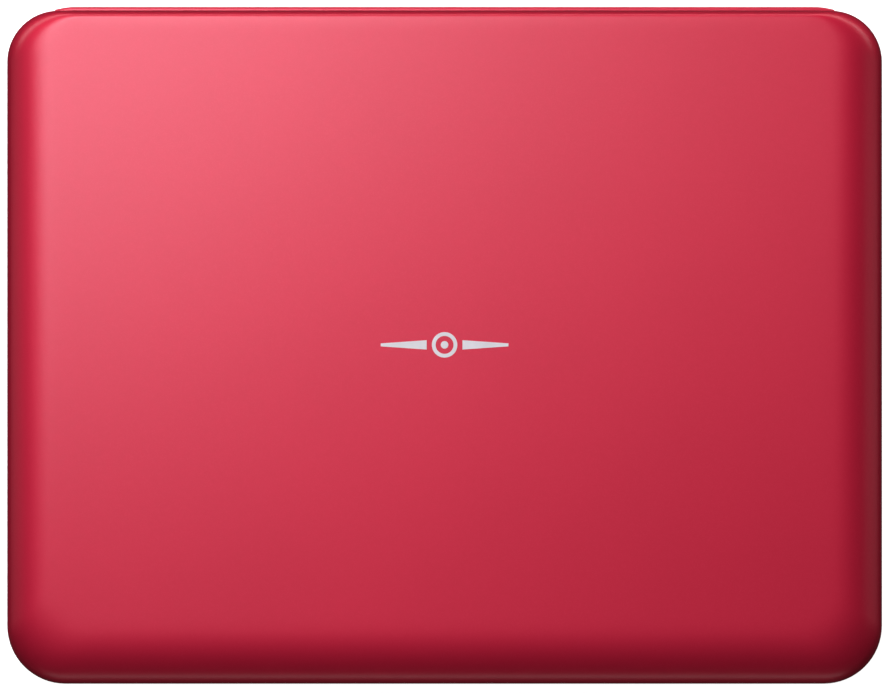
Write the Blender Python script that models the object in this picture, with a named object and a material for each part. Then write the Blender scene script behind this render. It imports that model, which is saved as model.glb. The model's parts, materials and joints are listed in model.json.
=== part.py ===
"""Portable DVD player, a closed clamshell: screen lid, player base, barrel hinge, disc lid and drive.

The frame has +Z up and its origin on the table, under the middle of the closed player.
+X is the user's right and +Y is the hinge side. The screen lid is shut at rest.
"""

import math

import bmesh
import bpy
from mathutils import Matrix, Vector

MM = 0.001

# Driving dimensions of the closed player
WIDTH = 206.0 * MM
DEPTH = 159.6 * MM
HEIGHT = 36.0 * MM
CORNER_RADIUS = 13.7 * MM
FRONT_EDGE = -DEPTH / 2
GAP = 0.3 * MM  # between pieces that sit against each other
PIN_GAP = 0.25 * MM
WALL = 2.0 * MM

# Hinge of the screen lid, along X: the lid's barrel turns in a trough on the base
TROUGH_RADIUS = 3.6 * MM
TROUGH_BORE = 2.7 * MM
TROUGH_HALF = 92.0 * MM
HINGE_Y = DEPTH / 2 - TROUGH_RADIUS
HINGE_Z = 22.0 * MM
BARREL_RADIUS = TROUGH_BORE - GAP
BARREL_HALF = 88.0 * MM
BARREL_WEB_HALF = 60.0 * MM
PIN_RADIUS = 1.2 * MM
LID_REAR_EDGE = DEPTH / 2 - 0.95 * MM
LID_REAR_CORNER = 12.1 * MM
BASE_REAR_EDGE = HINGE_Y - 0.4 * MM
DECK_NOTCH_Y = 70.9 * MM

# Levels of the base
FOOT_HEIGHT = 1.2 * MM
BASE_BOTTOM = 1.5 * MM
FLOOR_TOP = BASE_BOTTOM + WALL
CASE_RIM = 19.5 * MM
DECK_UNDERSIDE = 18.2 * MM
DECK_TOP = 21.2 * MM
BASE_PARTING = 21.75 * MM

# Levels of the screen lid
LID_PARTING = 22.25 * MM
BEZEL_FACE = 23.2 * MM
BEZEL_BACK = 25.2 * MM
COVER_RIM = 24.3 * MM
COVER_ROLL_START = 28.5 * MM
INSIDE_RIM_INSET = 2.4 * MM

# Disc well, disc lid and drive, centred on the spindle
SPINDLE_X = -28.0 * MM
SPINDLE_Y = -4.0 * MM
WELL_RADIUS = 61.5 * MM
WELL_FLOOR = 13.5 * MM
WELL_UNDERSIDE = 12.0 * MM
DISC_LID_HALF_WIDTH = 66.0 * MM
DISC_LID_FRONT = -70.0 * MM
DISC_LID_HINGE_Y = 63.0 * MM
DISC_LID_HINGE_Z = 19.5 * MM
DISC_LID_BARREL = 1.6 * MM
POCKET_FLOOR = 19.5 * MM
RAIL_Z = 7.9 * MM
RAIL_OFFSET = 20.0 * MM
SCREW_X = 4.0 * MM
LENS_Y = SPINDLE_Y - 24.0 * MM

# Keys on the deck
PAD_X = 68.0 * MM
PAD_Y = 20.0 * MM
KEY_TOP = 22.0 * MM
KEY_FLANGE_TOP = DECK_UNDERSIDE - GAP
KEY_BOARD_TOP = 16.1 * MM
SLIDER_X = 52.0 * MM
SLIDER_Y = -58.0 * MM

# Right-hand side of the base
JACK_Z = 14.8 * MM
WHEEL_X = 93.9 * MM
WHEEL_Y = -44.0 * MM
WHEEL_RADIUS = 9.0 * MM
WHEEL_BOTTOM = 11.0 * MM
WHEEL_TOP = 13.4 * MM
SWITCH_Y = 42.0 * MM
SWITCH_Z = 12.0 * MM

# Screen and sound in the lid
SCREEN_Y = -18.0 * MM
WINDOW_HALF_X = 92.0 * MM
WINDOW_HALF_Y = 54.0 * MM
SPEAKER_X = 74.0 * MM
SPEAKER_Y = 55.0 * MM

SCREW_PLACES = [
    (x * MM, y * MM) for x in (-80.0, 80.0) for y in (-58.0, 58.0)
]
FOOT_PLACES = {
    "front_left": (-66.0 * MM, -56.0 * MM),
    "front_right": (66.0 * MM, -56.0 * MM),
    "rear_left": (-66.0 * MM, 54.0 * MM),
    "rear_right": (66.0 * MM, 54.0 * MM),
}


# ---------------------------------------------------------------- scene and materials


def clear_scene():
    for old in list(bpy.data.objects):
        bpy.data.objects.remove(old, do_unlink=True)


def new_material(name, colour, roughness, metallic=0.0, alpha=1.0):
    made = bpy.data.materials.new(name)
    made.use_nodes = True
    shader = made.node_tree.nodes["Principled BSDF"]
    shader.inputs["Base Color"].default_value = (*colour, 1.0)
    shader.inputs["Roughness"].default_value = roughness
    shader.inputs["Metallic"].default_value = metallic
    shader.inputs["Alpha"].default_value = alpha
    return made


def make_materials():
    """Every finish of the player, by the name of what it is."""
    return {
        "red_lacquer": new_material("red_lacquer", (0.55, 0.03, 0.07), 0.35, 0.4),
        "black_plastic": new_material("black_plastic", (0.02, 0.02, 0.022), 0.5),
        "gloss_black": new_material("gloss_black", (0.01, 0.01, 0.012), 0.12),
        "silver_plastic": new_material("silver_plastic", (0.55, 0.56, 0.58), 0.35, 0.5),
        "steel": new_material("steel", (0.6, 0.6, 0.62), 0.3, 1.0),
        "zinc_plate": new_material("zinc_plate", (0.5, 0.51, 0.5), 0.45, 1.0),
        "circuit_board": new_material("circuit_board", (0.02, 0.16, 0.07), 0.45),
        "rubber": new_material("rubber", (0.03, 0.03, 0.03), 0.85),
        "glass": new_material("glass", (0.02, 0.02, 0.025), 0.05, 0.0, 0.35),
        "battery_wrap": new_material("battery_wrap", (0.04, 0.06, 0.16), 0.4),
        "lens": new_material("lens", (0.25, 0.32, 0.6), 0.05),
        "lamp": new_material("lamp", (0.3, 0.8, 0.35), 0.3),
        "brass": new_material("brass", (0.7, 0.55, 0.25), 0.3, 1.0),
    }


class Assembly:
    """Makes the named objects, each under the empty of the body that it moves with."""

    def __init__(self):
        self.materials = make_materials()
        self.bodies = {}

    def body(self, name, axis_point=(0.0, 0.0, 0.0)):
        """An empty on the joint's axis, which the body's pieces are parented to."""
        empty = bpy.data.objects.new("axis_" + name, None)
        empty.location = axis_point
        bpy.context.scene.collection.objects.link(empty)
        self.bodies[name] = empty

    def piece(self, name, shape, material, body="base"):
        """A named sub-part from a bmesh in world coordinates, with its origin on its body's axis."""
        empty = self.bodies[body]
        shape.transform(Matrix.Translation(-empty.location))
        obj = to_object(name, shape)
        obj.parent = empty
        obj.data.materials.append(self.materials[material])
        return obj


def to_object(name, shape):
    bmesh.ops.recalc_face_normals(shape, faces=shape.faces)
    mesh = bpy.data.meshes.new(name)
    shape.to_mesh(mesh)
    shape.free()
    mesh.shade_smooth()
    mesh.set_sharp_from_angle(angle=math.radians(30.0))
    obj = bpy.data.objects.new(name, mesh)
    bpy.context.scene.collection.objects.link(obj)
    return obj


def combine(target, operation, shapes):
    """Adds one exact Boolean to target for each shape, and keeps the shapes as hidden tools."""
    for shape in shapes:
        tool = to_object("tool_" + target.name, shape)
        tool.hide_render = True
        tool.display_type = "WIRE"
        modifier = target.modifiers.new(operation.lower(), "BOOLEAN")
        modifier.operation = operation
        modifier.object = tool


def cut(target, *shapes):
    combine(target, "DIFFERENCE", shapes)


def fuse(target, *shapes):
    combine(target, "UNION", shapes)


# ---------------------------------------------------------------- outlines and solids


def rounded_rectangle(x0, x1, y0, y1, radius, steps=4, rear_radius=None):
    """Anticlockwise outline, with each corner as an arc of the given steps."""
    rear = radius if rear_radius is None else rear_radius
    corners = [
        (x1 - radius, y0 + radius, radius, -90.0),
        (x1 - rear, y1 - rear, rear, 0.0),
        (x0 + rear, y1 - rear, rear, 90.0),
        (x0 + radius, y0 + radius, radius, 180.0),
    ]
    outline = []
    for cx, cy, radius, start in corners:
        for i in range(steps + 1):
            angle = math.radians(start + 90.0 * i / steps)
            outline.append((cx + radius * math.cos(angle), cy + radius * math.sin(angle)))
    return outline


def circle(cx, cy, radius, steps=32):
    angles = [2 * math.pi * i / steps for i in range(steps)]
    return [(cx + radius * math.cos(a), cy + radius * math.sin(a)) for a in angles]


def sector(cx, cy, inner, outer, middle_deg, half_deg, inset=0.0, steps=6):
    """Outline of a piece of a ring, such as an arrow key, pulled in by inset on all sides."""
    middle = math.radians(middle_deg)
    outline = []
    for radius, direction in ((outer - inset, 1), (inner + inset, -1)):
        spread = math.radians(half_deg) - inset / radius
        for i in range(steps + 1):
            angle = middle + direction * spread * (2 * i / steps - 1)
            outline.append((cx + radius * math.cos(angle), cy + radius * math.sin(angle)))
    return outline


def loft(rings, closed=False):
    """Closed skin over rings with equal numbers of points. The end rings are capped unless it is closed."""
    shape = bmesh.new()
    rows = [[shape.verts.new(point) for point in ring] for ring in rings]
    count = len(rows[0])
    pairs = list(zip(rows, rows[1:]))
    if closed:
        pairs.append((rows[-1], rows[0]))
    else:
        shape.faces.new(rows[0])
        shape.faces.new(rows[-1])
    for low, high in pairs:
        for i in range(count):
            j = (i + 1) % count
            shape.faces.new((low[i], low[j], high[j], high[i]))
    return shape


def level(outline, z):
    return [Vector((x, y, z)) for x, y in outline]


def prism(outline, z0, z1):
    return loft([level(outline, z0), level(outline, z1)])


def box(x0, x1, y0, y1, z0, z1):
    return prism([(x0, y0), (x1, y0), (x1, y1), (x0, y1)], z0, z1)


def turned(profile, centre, axis="Z", steps=32, closed=False):
    """Round solid about an axis through centre, from (position along the axis, radius) pairs."""
    along, across, up = {
        "X": (Vector((1, 0, 0)), Vector((0, 1, 0)), Vector((0, 0, 1))),
        "Y": (Vector((0, 1, 0)), Vector((0, 0, 1)), Vector((1, 0, 0))),
        "Z": (Vector((0, 0, 1)), Vector((1, 0, 0)), Vector((0, 1, 0))),
    }[axis]
    base = Vector(centre)
    base -= along * base.dot(along)
    angles = [2 * math.pi * i / steps for i in range(steps)]
    rings = [
        [base + along * place + (across * math.cos(a) + up * math.sin(a)) * radius for a in angles]
        for place, radius in profile
    ]
    return loft(rings, closed)


def rod(start, end, radius, centre, axis="Z", steps=24):
    return turned([(start, radius), (end, radius)], centre, axis, steps)


def case_outline(front, side, rear, rear_edge, shrink):
    """The player's rounded outline, pulled in by the given amounts, with its corners shrunk."""
    half = WIDTH / 2 - side
    rear_corner = LID_REAR_CORNER if rear_edge == LID_REAR_EDGE else CORNER_RADIUS
    return rounded_rectangle(
        -half, half, FRONT_EDGE + front, rear_edge - rear, CORNER_RADIUS - shrink, 7, rear_corner - shrink
    )


def case_ring(inset, z, rear_edge):
    """The same outline with one inset all round, at height z."""
    return level(case_outline(inset, inset, inset, rear_edge, inset), z)


def rolled_rings(roll, inset, rim_z, roll_z, end_z, rear_edge, power, draft=0.0, steps=8):
    """Rings from a wall's rim, straight to roll_z, then rolling over to a flat at end_z.

    roll is how far the edge rolls in at the front, the sides and the rear. power 2 is an ellipse.
    draft leans the rear wall in between the rim and the roll.
    """
    rings = [case_ring(inset, rim_z, rear_edge)]
    for i in range(steps + 1):
        angle = math.pi / 2 * i / steps
        across = 1 - math.cos(angle) ** (2 / power) if i < steps else 1.0
        rise = math.sin(angle) ** (2 / power)
        front, side, rear = (inset + amount * across for amount in roll)
        outline = case_outline(front, side, rear + draft, rear_edge, inset + 0.45 * roll[1] * across)
        rings.append(level(outline, roll_z + (end_z - roll_z) * rise))
    return rings


def hinge_rod(start, end, radius, steps=32):
    """Round rod along the axis of the screen lid's hinge."""
    return rod(start, end, radius, (0, HINGE_Y, HINGE_Z), "X", steps)


def hinge_clearance():
    """Round channel across the whole width for the hinge, cut from lid and base alike."""
    half = WIDTH / 2 + MM
    return hinge_rod(-half, half, TROUGH_RADIUS + GAP)


# ---------------------------------------------------------------- screen lid


def lid_cover(made):
    """Red outer shell: upright walls that roll over to a flat back."""
    draft = 0.6 * MM
    outer = rolled_rings(
        (14.5 * MM, 12.5 * MM, 8.0 * MM), 0.0, COVER_RIM, COVER_ROLL_START,
        HEIGHT, LID_REAR_EDGE, 2.0, draft,
    )
    inner = rolled_rings(
        (13.5 * MM, 11.5 * MM, 7.5 * MM), WALL, COVER_RIM, COVER_ROLL_START,
        HEIGHT - WALL, LID_REAR_EDGE, 2.0, draft, steps=5,
    )
    cover = made.piece("lid_cover", loft(outer[::-1] + inner), "red_lacquer", "display")
    cut(cover, hinge_clearance())


def screen_bezel(made):
    """Inner frame round the screen, with its rim, the window opening and the speaker openings."""
    profile = [
        (INSIDE_RIM_INSET, BEZEL_BACK),
        (INSIDE_RIM_INSET, COVER_RIM - GAP),
        (0.0, COVER_RIM - GAP),
        (0.0, LID_PARTING + 0.35 * MM),
        (0.35 * MM, LID_PARTING),
        (3.2 * MM, LID_PARTING),
        (4.2 * MM, BEZEL_FACE),
    ]
    rings = [case_ring(inset, z, LID_REAR_EDGE) for inset, z in profile]
    bezel = made.piece("screen_bezel", loft(rings), "gloss_black", "display")
    half_x, half_y = WINDOW_HALF_X + GAP, WINDOW_HALF_Y + GAP
    window = rounded_rectangle(-half_x, half_x, SCREEN_Y - half_y, SCREEN_Y + half_y, 3 * MM)
    notch_half = BARREL_WEB_HALF + 0.4 * MM
    cut(
        bezel,
        hinge_clearance(),
        prism(window, BEZEL_FACE - MM, BEZEL_BACK + MM),
        box(-notch_half, notch_half, DECK_NOTCH_Y, 82 * MM, 21 * MM, 26 * MM),
    )
    for side in (-1, 1):
        cut(bezel, prism(grille_outline(side, GAP), BEZEL_FACE - MM, BEZEL_BACK + MM))


def grille_outline(side, grow=0.0):
    half_x, half_y = 17.0 * MM + grow, 8.0 * MM + grow
    cx = side * SPEAKER_X
    return rounded_rectangle(
        cx - half_x, cx + half_x, SPEAKER_Y - half_y, SPEAKER_Y + half_y, half_y - 0.05 * MM, steps=5
    )


def screen(made):
    """Clear window, liquid crystal panel, backlight tray and the board that drives them."""
    window = rounded_rectangle(
        -WINDOW_HALF_X, WINDOW_HALF_X, SCREEN_Y - WINDOW_HALF_Y, SCREEN_Y + WINDOW_HALF_Y, 3 * MM
    )
    made.piece("screen_window", prism(window, 23.3 * MM, 24.5 * MM), "glass", "display")
    half_x, half_y = 94.0 * MM, 56.5 * MM
    low, high = SCREEN_Y - half_y, SCREEN_Y + half_y
    made.piece("lcd_panel", box(-half_x, half_x, low, high, 25.5 * MM, 27.5 * MM), "glass", "display")
    tray = made.piece(
        "backlight_tray", box(-half_x, half_x, low, high, 27.8 * MM, 30.8 * MM), "zinc_plate", "display"
    )
    rim = 1.5 * MM
    cut(tray, box(-half_x + rim, half_x - rim, low + rim, high - rim, 27 * MM, 30 * MM))
    board = rounded_rectangle(-60 * MM, 60 * MM, -60 * MM, 20 * MM, 2 * MM, steps=2)
    made.piece("display_board", prism(board, 31.3 * MM, 32.5 * MM), "circuit_board", "display")


def speakers(made):
    """Two oval loudspeakers behind slotted grilles, between the screen and the hinge."""
    for side, hand in ((-1, "left"), (1, "right")):
        grille = made.piece(
            "speaker_grille_" + hand, prism(grille_outline(side), 23.3 * MM, 24.3 * MM),
            "black_plastic", "display",
        )
        slots = 6
        for i in range(slots):
            cy = SPEAKER_Y + (i - (slots - 1) / 2) * 2.4 * MM
            half = 10.5 * MM
            cx = side * SPEAKER_X
            cut(grille, box(cx - half, cx + half, cy - 0.6 * MM, cy + 0.6 * MM, 23 * MM, 25 * MM))
        body = made.piece(
            "speaker_" + hand, prism(grille_outline(side, 0.5 * MM), 25.5 * MM, 29.5 * MM),
            "black_plastic", "display",
        )
        fuse(body, rod(29 * MM, 31.5 * MM, 6 * MM, (side * SPEAKER_X, SPEAKER_Y, 0)))


def screen_bumpers(made):
    for side, hand in ((-1, "left"), (1, "right")):
        profile = [(21.8 * MM, 1.8 * MM), (22.1 * MM, 2.2 * MM), (BEZEL_FACE - GAP, 2.2 * MM)]
        shape = turned(profile, (side * 96.2 * MM, -60.0 * MM, 0), steps=16)
        made.piece("screen_bumper_" + hand, shape, "rubber", "display")


def hinge_barrel(made):
    """Long barrel that turns in the trough, and the cranked leaf that is screwed inside the lid.

    Near the barrel the leaf stays low, so that it comes over the trough's rim with the lid wide open.
    """
    half, web = BARREL_HALF, BARREL_WEB_HALF
    barrel = made.piece("hinge_barrel", hinge_rod(-half, half, BARREL_RADIUS), "red_lacquer", "display")
    fuse(
        barrel,
        box(-web, web, 71.2 * MM, HINGE_Y - 1.4 * MM, 22.35 * MM, 23.35 * MM),
        box(-web, web, 71.2 * MM, 72.2 * MM, 22.8 * MM, 26.5 * MM),
        box(-48 * MM, 48 * MM, 56 * MM, 72 * MM, BEZEL_BACK + GAP, 26.2 * MM),
    )
    for side in (-1, 1):
        ends = sorted((side * (half - 12 * MM), side * (half + MM)))
        cut(barrel, hinge_rod(*ends, PIN_RADIUS + PIN_GAP, 20))


# ---------------------------------------------------------------- hinge on the base


def trough_ring(x, scale):
    """Section of the trough at x: a round wall open at the top, from the deck's side to the rear rim."""
    points = [(TROUGH_RADIUS, 8 * i) for i in range(-22, 1)]
    points += [(TROUGH_RADIUS, 4), (TROUGH_RADIUS - 0.3 * MM, 9)]
    points += [(TROUGH_BORE, 8 * i) for i in range(1, -23, -1)]
    ring = []
    for radius, degrees in points:
        angle = math.radians(degrees)
        across, up = scale * radius * math.cos(angle), scale * radius * math.sin(angle)
        ring.append(Vector((x, HINGE_Y + across, HINGE_Z + up)))
    return ring


def hinge_trough(made):
    """Trough across the back of the base with closed ends, and the steel pins that the ends carry."""
    half = TROUGH_HALF
    sections = [(-half, 0.84), (-half + MM, 1.0), (half - MM, 1.0), (half, 0.84)]
    trough = made.piece("hinge_trough", loft([trough_ring(x, scale) for x, scale in sections]), "red_lacquer")
    front_face = HINGE_Y - TROUGH_RADIUS + 0.7 * MM
    web = half - 2 * MM
    fuse(
        trough,
        box(-web, web, 71.2 * MM, front_face, 16.5 * MM, BASE_PARTING - 0.1 * MM),
        box(-89 * MM, 89 * MM, 67.3 * MM, 72 * MM, 16.5 * MM, 17.6 * MM),
    )
    for side, hand in ((-1, "left"), (1, "right")):
        start = BARREL_HALF + GAP
        fuse(trough, hinge_rod(*sorted((side * start, side * (half - 0.4 * MM))), TROUGH_BORE + 0.1 * MM))
        bore = sorted((side * (start - MM), side * (half - 1.4 * MM)))
        cut(trough, hinge_rod(*bore, PIN_RADIUS + PIN_GAP, 20))
        ends = sorted((side * (BARREL_HALF - 11 * MM), side * (half - 1.8 * MM)))
        made.piece("hinge_pin_" + hand, hinge_rod(*ends, PIN_RADIUS, 16), "steel")


# ---------------------------------------------------------------- base shells


def bottom_case(made):
    """Red tub with rolled edges, openings in its right wall and screw towers on its floor."""
    outer = rolled_rings(
        (14.5 * MM, 14.0 * MM, 9.0 * MM), 0.0, CASE_RIM, CASE_RIM - 0.5 * MM,
        BASE_BOTTOM, BASE_REAR_EDGE, 2.4,
    )
    inner = rolled_rings(
        (13.5 * MM, 13.0 * MM, 8.5 * MM), WALL, CASE_RIM, CASE_RIM - 0.5 * MM,
        FLOOR_TOP, BASE_REAR_EDGE, 2.4, steps=6,
    )
    case = made.piece("bottom_case", loft(outer[::-1] + inner), "red_lacquer")
    cut(case, hinge_clearance())
    for x, y in SCREW_PLACES:
        fuse(case, rod(2.5 * MM, 5.5 * MM, 5 * MM, (x, y, 0), steps=20))
        cut(
            case,
            rod(0.0, 4.0 * MM, 3.1 * MM, (x, y, 0), steps=20),
            rod(0.0, 7.0 * MM, 1.5 * MM, (x, y, 0), steps=16),
        )
    wall_start, wall_end = 97 * MM, 105 * MM
    cut(
        case,
        battery_opening(0.0, 0.0, 6 * MM),
        box(
            wall_start, wall_end, WHEEL_Y - 7.5 * MM, WHEEL_Y + 7.5 * MM, WHEEL_BOTTOM - GAP, WHEEL_TOP + GAP
        ),
        box(wall_start, wall_end, SWITCH_Y - 4.8 * MM, SWITCH_Y + 8.8 * MM, 10.0 * MM, 14.0 * MM),
        box(65.7 * MM, 80.3 * MM, -82 * MM, -74 * MM, 9.7 * MM, 15.3 * MM),
    )
    for y, radius in ((-22.0, 3.1), (-9.0, 3.1), (4.0, 3.1), (19.0, 3.4)):
        cut(case, rod(wall_start, wall_end, radius * MM, (0, y * MM, JACK_Z), "X", 20))


def battery_opening(shrink, z0, z1):
    outline = rounded_rectangle(
        40 * MM + shrink, 86 * MM - shrink, -48 * MM + shrink, 48 * MM - shrink, 3 * MM - shrink, steps=3
    )
    return prism(outline, z0, z1)


def disc_well(made):
    """Round tub under the deck's opening: its floor carries the pickup's slot."""
    spindle = (SPINDLE_X, SPINDLE_Y, 0)
    outer = WELL_RADIUS + 2.5 * MM
    tub = rod(WELL_UNDERSIDE, DECK_UNDERSIDE - GAP, outer, spindle, steps=56)
    well = made.piece("disc_well", tub, "black_plastic")
    cut(
        well,
        rod(WELL_FLOOR, DECK_TOP, WELL_RADIUS, spindle, steps=56),
        box(SPINDLE_X - 17 * MM, SPINDLE_X + 17 * MM, -66.2 * MM, 11 * MM, 11 * MM, 14.5 * MM),
    )


def top_case(made):
    """Deck plate with its rim, the well's opening, the disc lid's pocket, key openings and screw bosses."""
    profile = [
        (INSIDE_RIM_INSET, DECK_UNDERSIDE),
        (INSIDE_RIM_INSET, CASE_RIM + GAP),
        (0.0, CASE_RIM + GAP),
        (0.0, BASE_PARTING - 0.35 * MM),
        (0.35 * MM, BASE_PARTING),
        (3.2 * MM, BASE_PARTING),
        (4.2 * MM, DECK_TOP),
    ]
    rings = [case_ring(inset, z, BASE_REAR_EDGE) for inset, z in profile]
    deck = made.piece("top_case", loft(rings), "black_plastic")
    spindle = (SPINDLE_X, SPINDLE_Y, 0)
    left, right = SPINDLE_X - DISC_LID_HALF_WIDTH, SPINDLE_X + DISC_LID_HALF_WIDTH
    hinge = (0, DISC_LID_HINGE_Y, DISC_LID_HINGE_Z)
    fuse(deck, box(left - 4.5 * MM, right + 4.5 * MM, 60.5 * MM, 66.5 * MM, 16.5 * MM, 19 * MM))
    for x, y in SCREW_PLACES:
        fuse(deck, rod(5.8 * MM, 18.7 * MM, 3.5 * MM, (x, y, 0), steps=16))
        cut(deck, rod(5.0 * MM, 13.0 * MM, 1.5 * MM, (x, y, 0), steps=16))
    pocket = rounded_rectangle(
        left - GAP, right + GAP, DISC_LID_FRONT - GAP, DISC_LID_HINGE_Y + 2.2 * MM, 2.2 * MM, steps=3
    )
    cut(
        deck,
        hinge_clearance(),
        box(-92.3 * MM, 92.3 * MM, DECK_NOTCH_Y, 82 * MM, 17 * MM, 23 * MM),
        prism(pocket, POCKET_FLOOR, 23 * MM),
        rod(17 * MM, 22 * MM, WELL_RADIUS, spindle, steps=56),
        rod(left - GAP, right + GAP, DISC_LID_BARREL + GAP, hinge, "X", 20),
        rod(left - 3.3 * MM, right + 3.3 * MM, 1.1 * MM, hinge, "X", 12),
    )
    for outline in key_outlines(-GAP).values():
        cut(deck, prism(outline, 17 * MM, 23 * MM))
    cut(
        deck,
        box(
            SLIDER_X - 6.3 * MM, SLIDER_X + 3.3 * MM, SLIDER_Y - 2.3 * MM, SLIDER_Y + 2.3 * MM,
            17 * MM, 23 * MM,
        ),
        prism(lamp_outline(GAP), 17 * MM, 23 * MM),
    )


def lamp_outline(grow=0.0):
    return rounded_rectangle(
        84 * MM - grow, 92 * MM + grow, -71 * MM - grow, -69 * MM + grow, 0.9 * MM + grow, steps=3
    )


def battery(made):
    made.piece("battery_cover", battery_opening(GAP, BASE_BOTTOM, 3.2 * MM), "black_plastic")
    outline = rounded_rectangle(42 * MM, 84 * MM, -46 * MM, 46 * MM, 2 * MM, steps=2)
    made.piece("battery_pack", prism(outline, 3.9 * MM, 9.9 * MM), "battery_wrap")


def feet_and_screws(made):
    for place, (x, y) in FOOT_PLACES.items():
        profile = [(0.0, 4.5 * MM), (0.3 * MM, 5.0 * MM), (FOOT_HEIGHT, 5.0 * MM)]
        made.piece("foot_" + place, turned(profile, (x, y, 0), steps=20), "rubber")
    for (x, y), place in zip(SCREW_PLACES, ("front_left", "rear_left", "front_right", "rear_right")):
        profile = [(2.3 * MM, 2.8 * MM), (3.7 * MM, 2.8 * MM), (3.7 * MM, 1.2 * MM), (12 * MM, 1.2 * MM)]
        made.piece("case_screw_" + place, turned(profile, (x, y, 0), steps=16), "steel")


# ---------------------------------------------------------------- electronics in the base


def boards(made):
    """Main board in two joined rectangles clear of the bosses and the volume wheel, and the key board."""
    board = made.piece(
        "main_board", box(41 * MM, 95.5 * MM, -28 * MM, 50 * MM, 10.5 * MM, 11.9 * MM), "circuit_board"
    )
    fuse(
        board,
        box(41 * MM, 74 * MM, -62 * MM, -27 * MM, 10.5 * MM, 11.9 * MM),
        box(50 * MM, 68 * MM, 2 * MM, 20 * MM, 11.5 * MM, 13.2 * MM),
        box(72 * MM, 84 * MM, 26 * MM, 38 * MM, 11.5 * MM, 13.0 * MM),
        box(91 * MM, 95 * MM, 34 * MM, 48 * MM, 11.5 * MM, 14.4 * MM),
    )
    keys = rounded_rectangle(46 * MM, 90 * MM, -34 * MM, 44 * MM, 2 * MM, steps=2)
    made.piece("key_board", prism(keys, 14.9 * MM, KEY_BOARD_TOP), "circuit_board")


def jacks(made):
    """Two headphone sockets, the picture and sound socket and the power inlet, along the right wall."""
    places = {
        "headphone_jack_front": (-22 * MM, 2.8 * MM, 1.75 * MM),
        "headphone_jack_rear": (-9 * MM, 2.8 * MM, 1.75 * MM),
        "av_jack": (4 * MM, 2.8 * MM, 1.75 * MM),
        "dc_jack": (19 * MM, 3.1 * MM, 2.5 * MM),
    }
    for name, (y, radius, bore) in places.items():
        jack = made.piece(
            name, box(90.6 * MM, 99.3 * MM, y - 4.5 * MM, y + 4.5 * MM, 12.2 * MM, 17.6 * MM), "black_plastic"
        )
        fuse(jack, rod(98 * MM, 102.3 * MM, radius, (0, y, JACK_Z), "X", 20))
        cut(jack, rod(92 * MM, 104 * MM, bore, (0, y, JACK_Z), "X", 16))
        if name == "dc_jack":
            fuse(jack, rod(91.5 * MM, 101 * MM, 0.8 * MM, (0, y, JACK_Z), "X", 10))


def front_and_lamp(made):
    """Dark window of the remote receiver in the front wall, and the light pipe of the status lamp."""
    window = box(66 * MM, 80 * MM, -79.1 * MM, -76.6 * MM, 10.0 * MM, 15.0 * MM)
    made.piece("remote_window", window, "gloss_black")
    made.piece("status_lamp", prism(lamp_outline(), 17.5 * MM, 21.4 * MM), "lamp")


def volume_control(made):
    """Thumbwheel that stands a little out of the right wall, on its potentiometer's spindle."""
    centre = (WHEEL_X, WHEEL_Y, 0)
    pot = made.piece(
        "volume_pot", box(91.2 * MM, 96.2 * MM, WHEEL_Y - 5 * MM, WHEEL_Y + 5 * MM, 7.2 * MM, 10.7 * MM),
        "black_plastic",
    )
    fuse(pot, rod(10 * MM, 13.0 * MM, 1.5 * MM, centre, steps=16))
    profile = [
        (WHEEL_BOTTOM, 1.8 * MM),
        (WHEEL_BOTTOM, WHEEL_RADIUS - 0.3 * MM),
        (WHEEL_BOTTOM + 0.3 * MM, WHEEL_RADIUS),
        (WHEEL_TOP - 0.3 * MM, WHEEL_RADIUS),
        (WHEEL_TOP, WHEEL_RADIUS - 0.3 * MM),
        (WHEEL_TOP, 1.8 * MM),
    ]
    wheel = turned(profile, centre, steps=40, closed=True)
    made.piece("volume_wheel", wheel, "silver_plastic", "volume_wheel")


def power_switch(made):
    """Slide switch in the right wall: the knob outside and a flange behind the slot."""
    knob = made.piece(
        "power_switch",
        box(97.5 * MM, 102.9 * MM, SWITCH_Y - 4.5 * MM, SWITCH_Y + 4.5 * MM, 10.3 * MM, 13.7 * MM),
        "silver_plastic", "power_switch",
    )
    fuse(knob, box(96.9 * MM, 98.3 * MM, SWITCH_Y - 6.5 * MM, SWITCH_Y + 6.5 * MM, 9.3 * MM, 14.7 * MM))


# ---------------------------------------------------------------- keys


def key_outlines(inset):
    """Outline of each key in plan, pulled in by inset, or grown when it is negative."""
    outlines = {"key_enter": circle(PAD_X, PAD_Y, 6.0 * MM - inset, 24)}
    for name, angle in (("right", 0), ("up", 90), ("left", 180), ("down", 270)):
        outlines["key_" + name] = sector(PAD_X, PAD_Y, 8.4 * MM, 17.0 * MM, angle, 36.5, inset)
    places = {
        "key_stop": (58.5, -10.0),
        "key_play": (77.5, -10.0),
        "key_previous": (58.5, -24.0),
        "key_next": (77.5, -24.0),
    }
    half_x, half_y = 8.0 * MM - inset, 4.5 * MM - inset
    for name, (x, y) in places.items():
        cx, cy = x * MM, y * MM
        outlines[name] = rounded_rectangle(
            cx - half_x, cx + half_x, cy - half_y, cy + half_y, 2.5 * MM - inset, steps=3
        )
    return outlines


def keys(made):
    """Nine keys that travel straight down: a cap through the deck, a flange under it and a foot."""
    levels = [
        (2.4 * MM, 16.9 * MM),
        (2.4 * MM, 17.2 * MM),
        (-0.9 * MM, 17.2 * MM),
        (-0.9 * MM, KEY_FLANGE_TOP),
        (0.0, KEY_FLANGE_TOP),
        (0.0, KEY_TOP - 0.4 * MM),
        (0.4 * MM, KEY_TOP),
    ]
    outlines = [(key_outlines(inset), z) for inset, z in levels]
    for name in outlines[0][0]:
        rings = [level(at_level[name], z) for at_level, z in outlines]
        made.piece(name, loft(rings), "silver_plastic", name)


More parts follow.
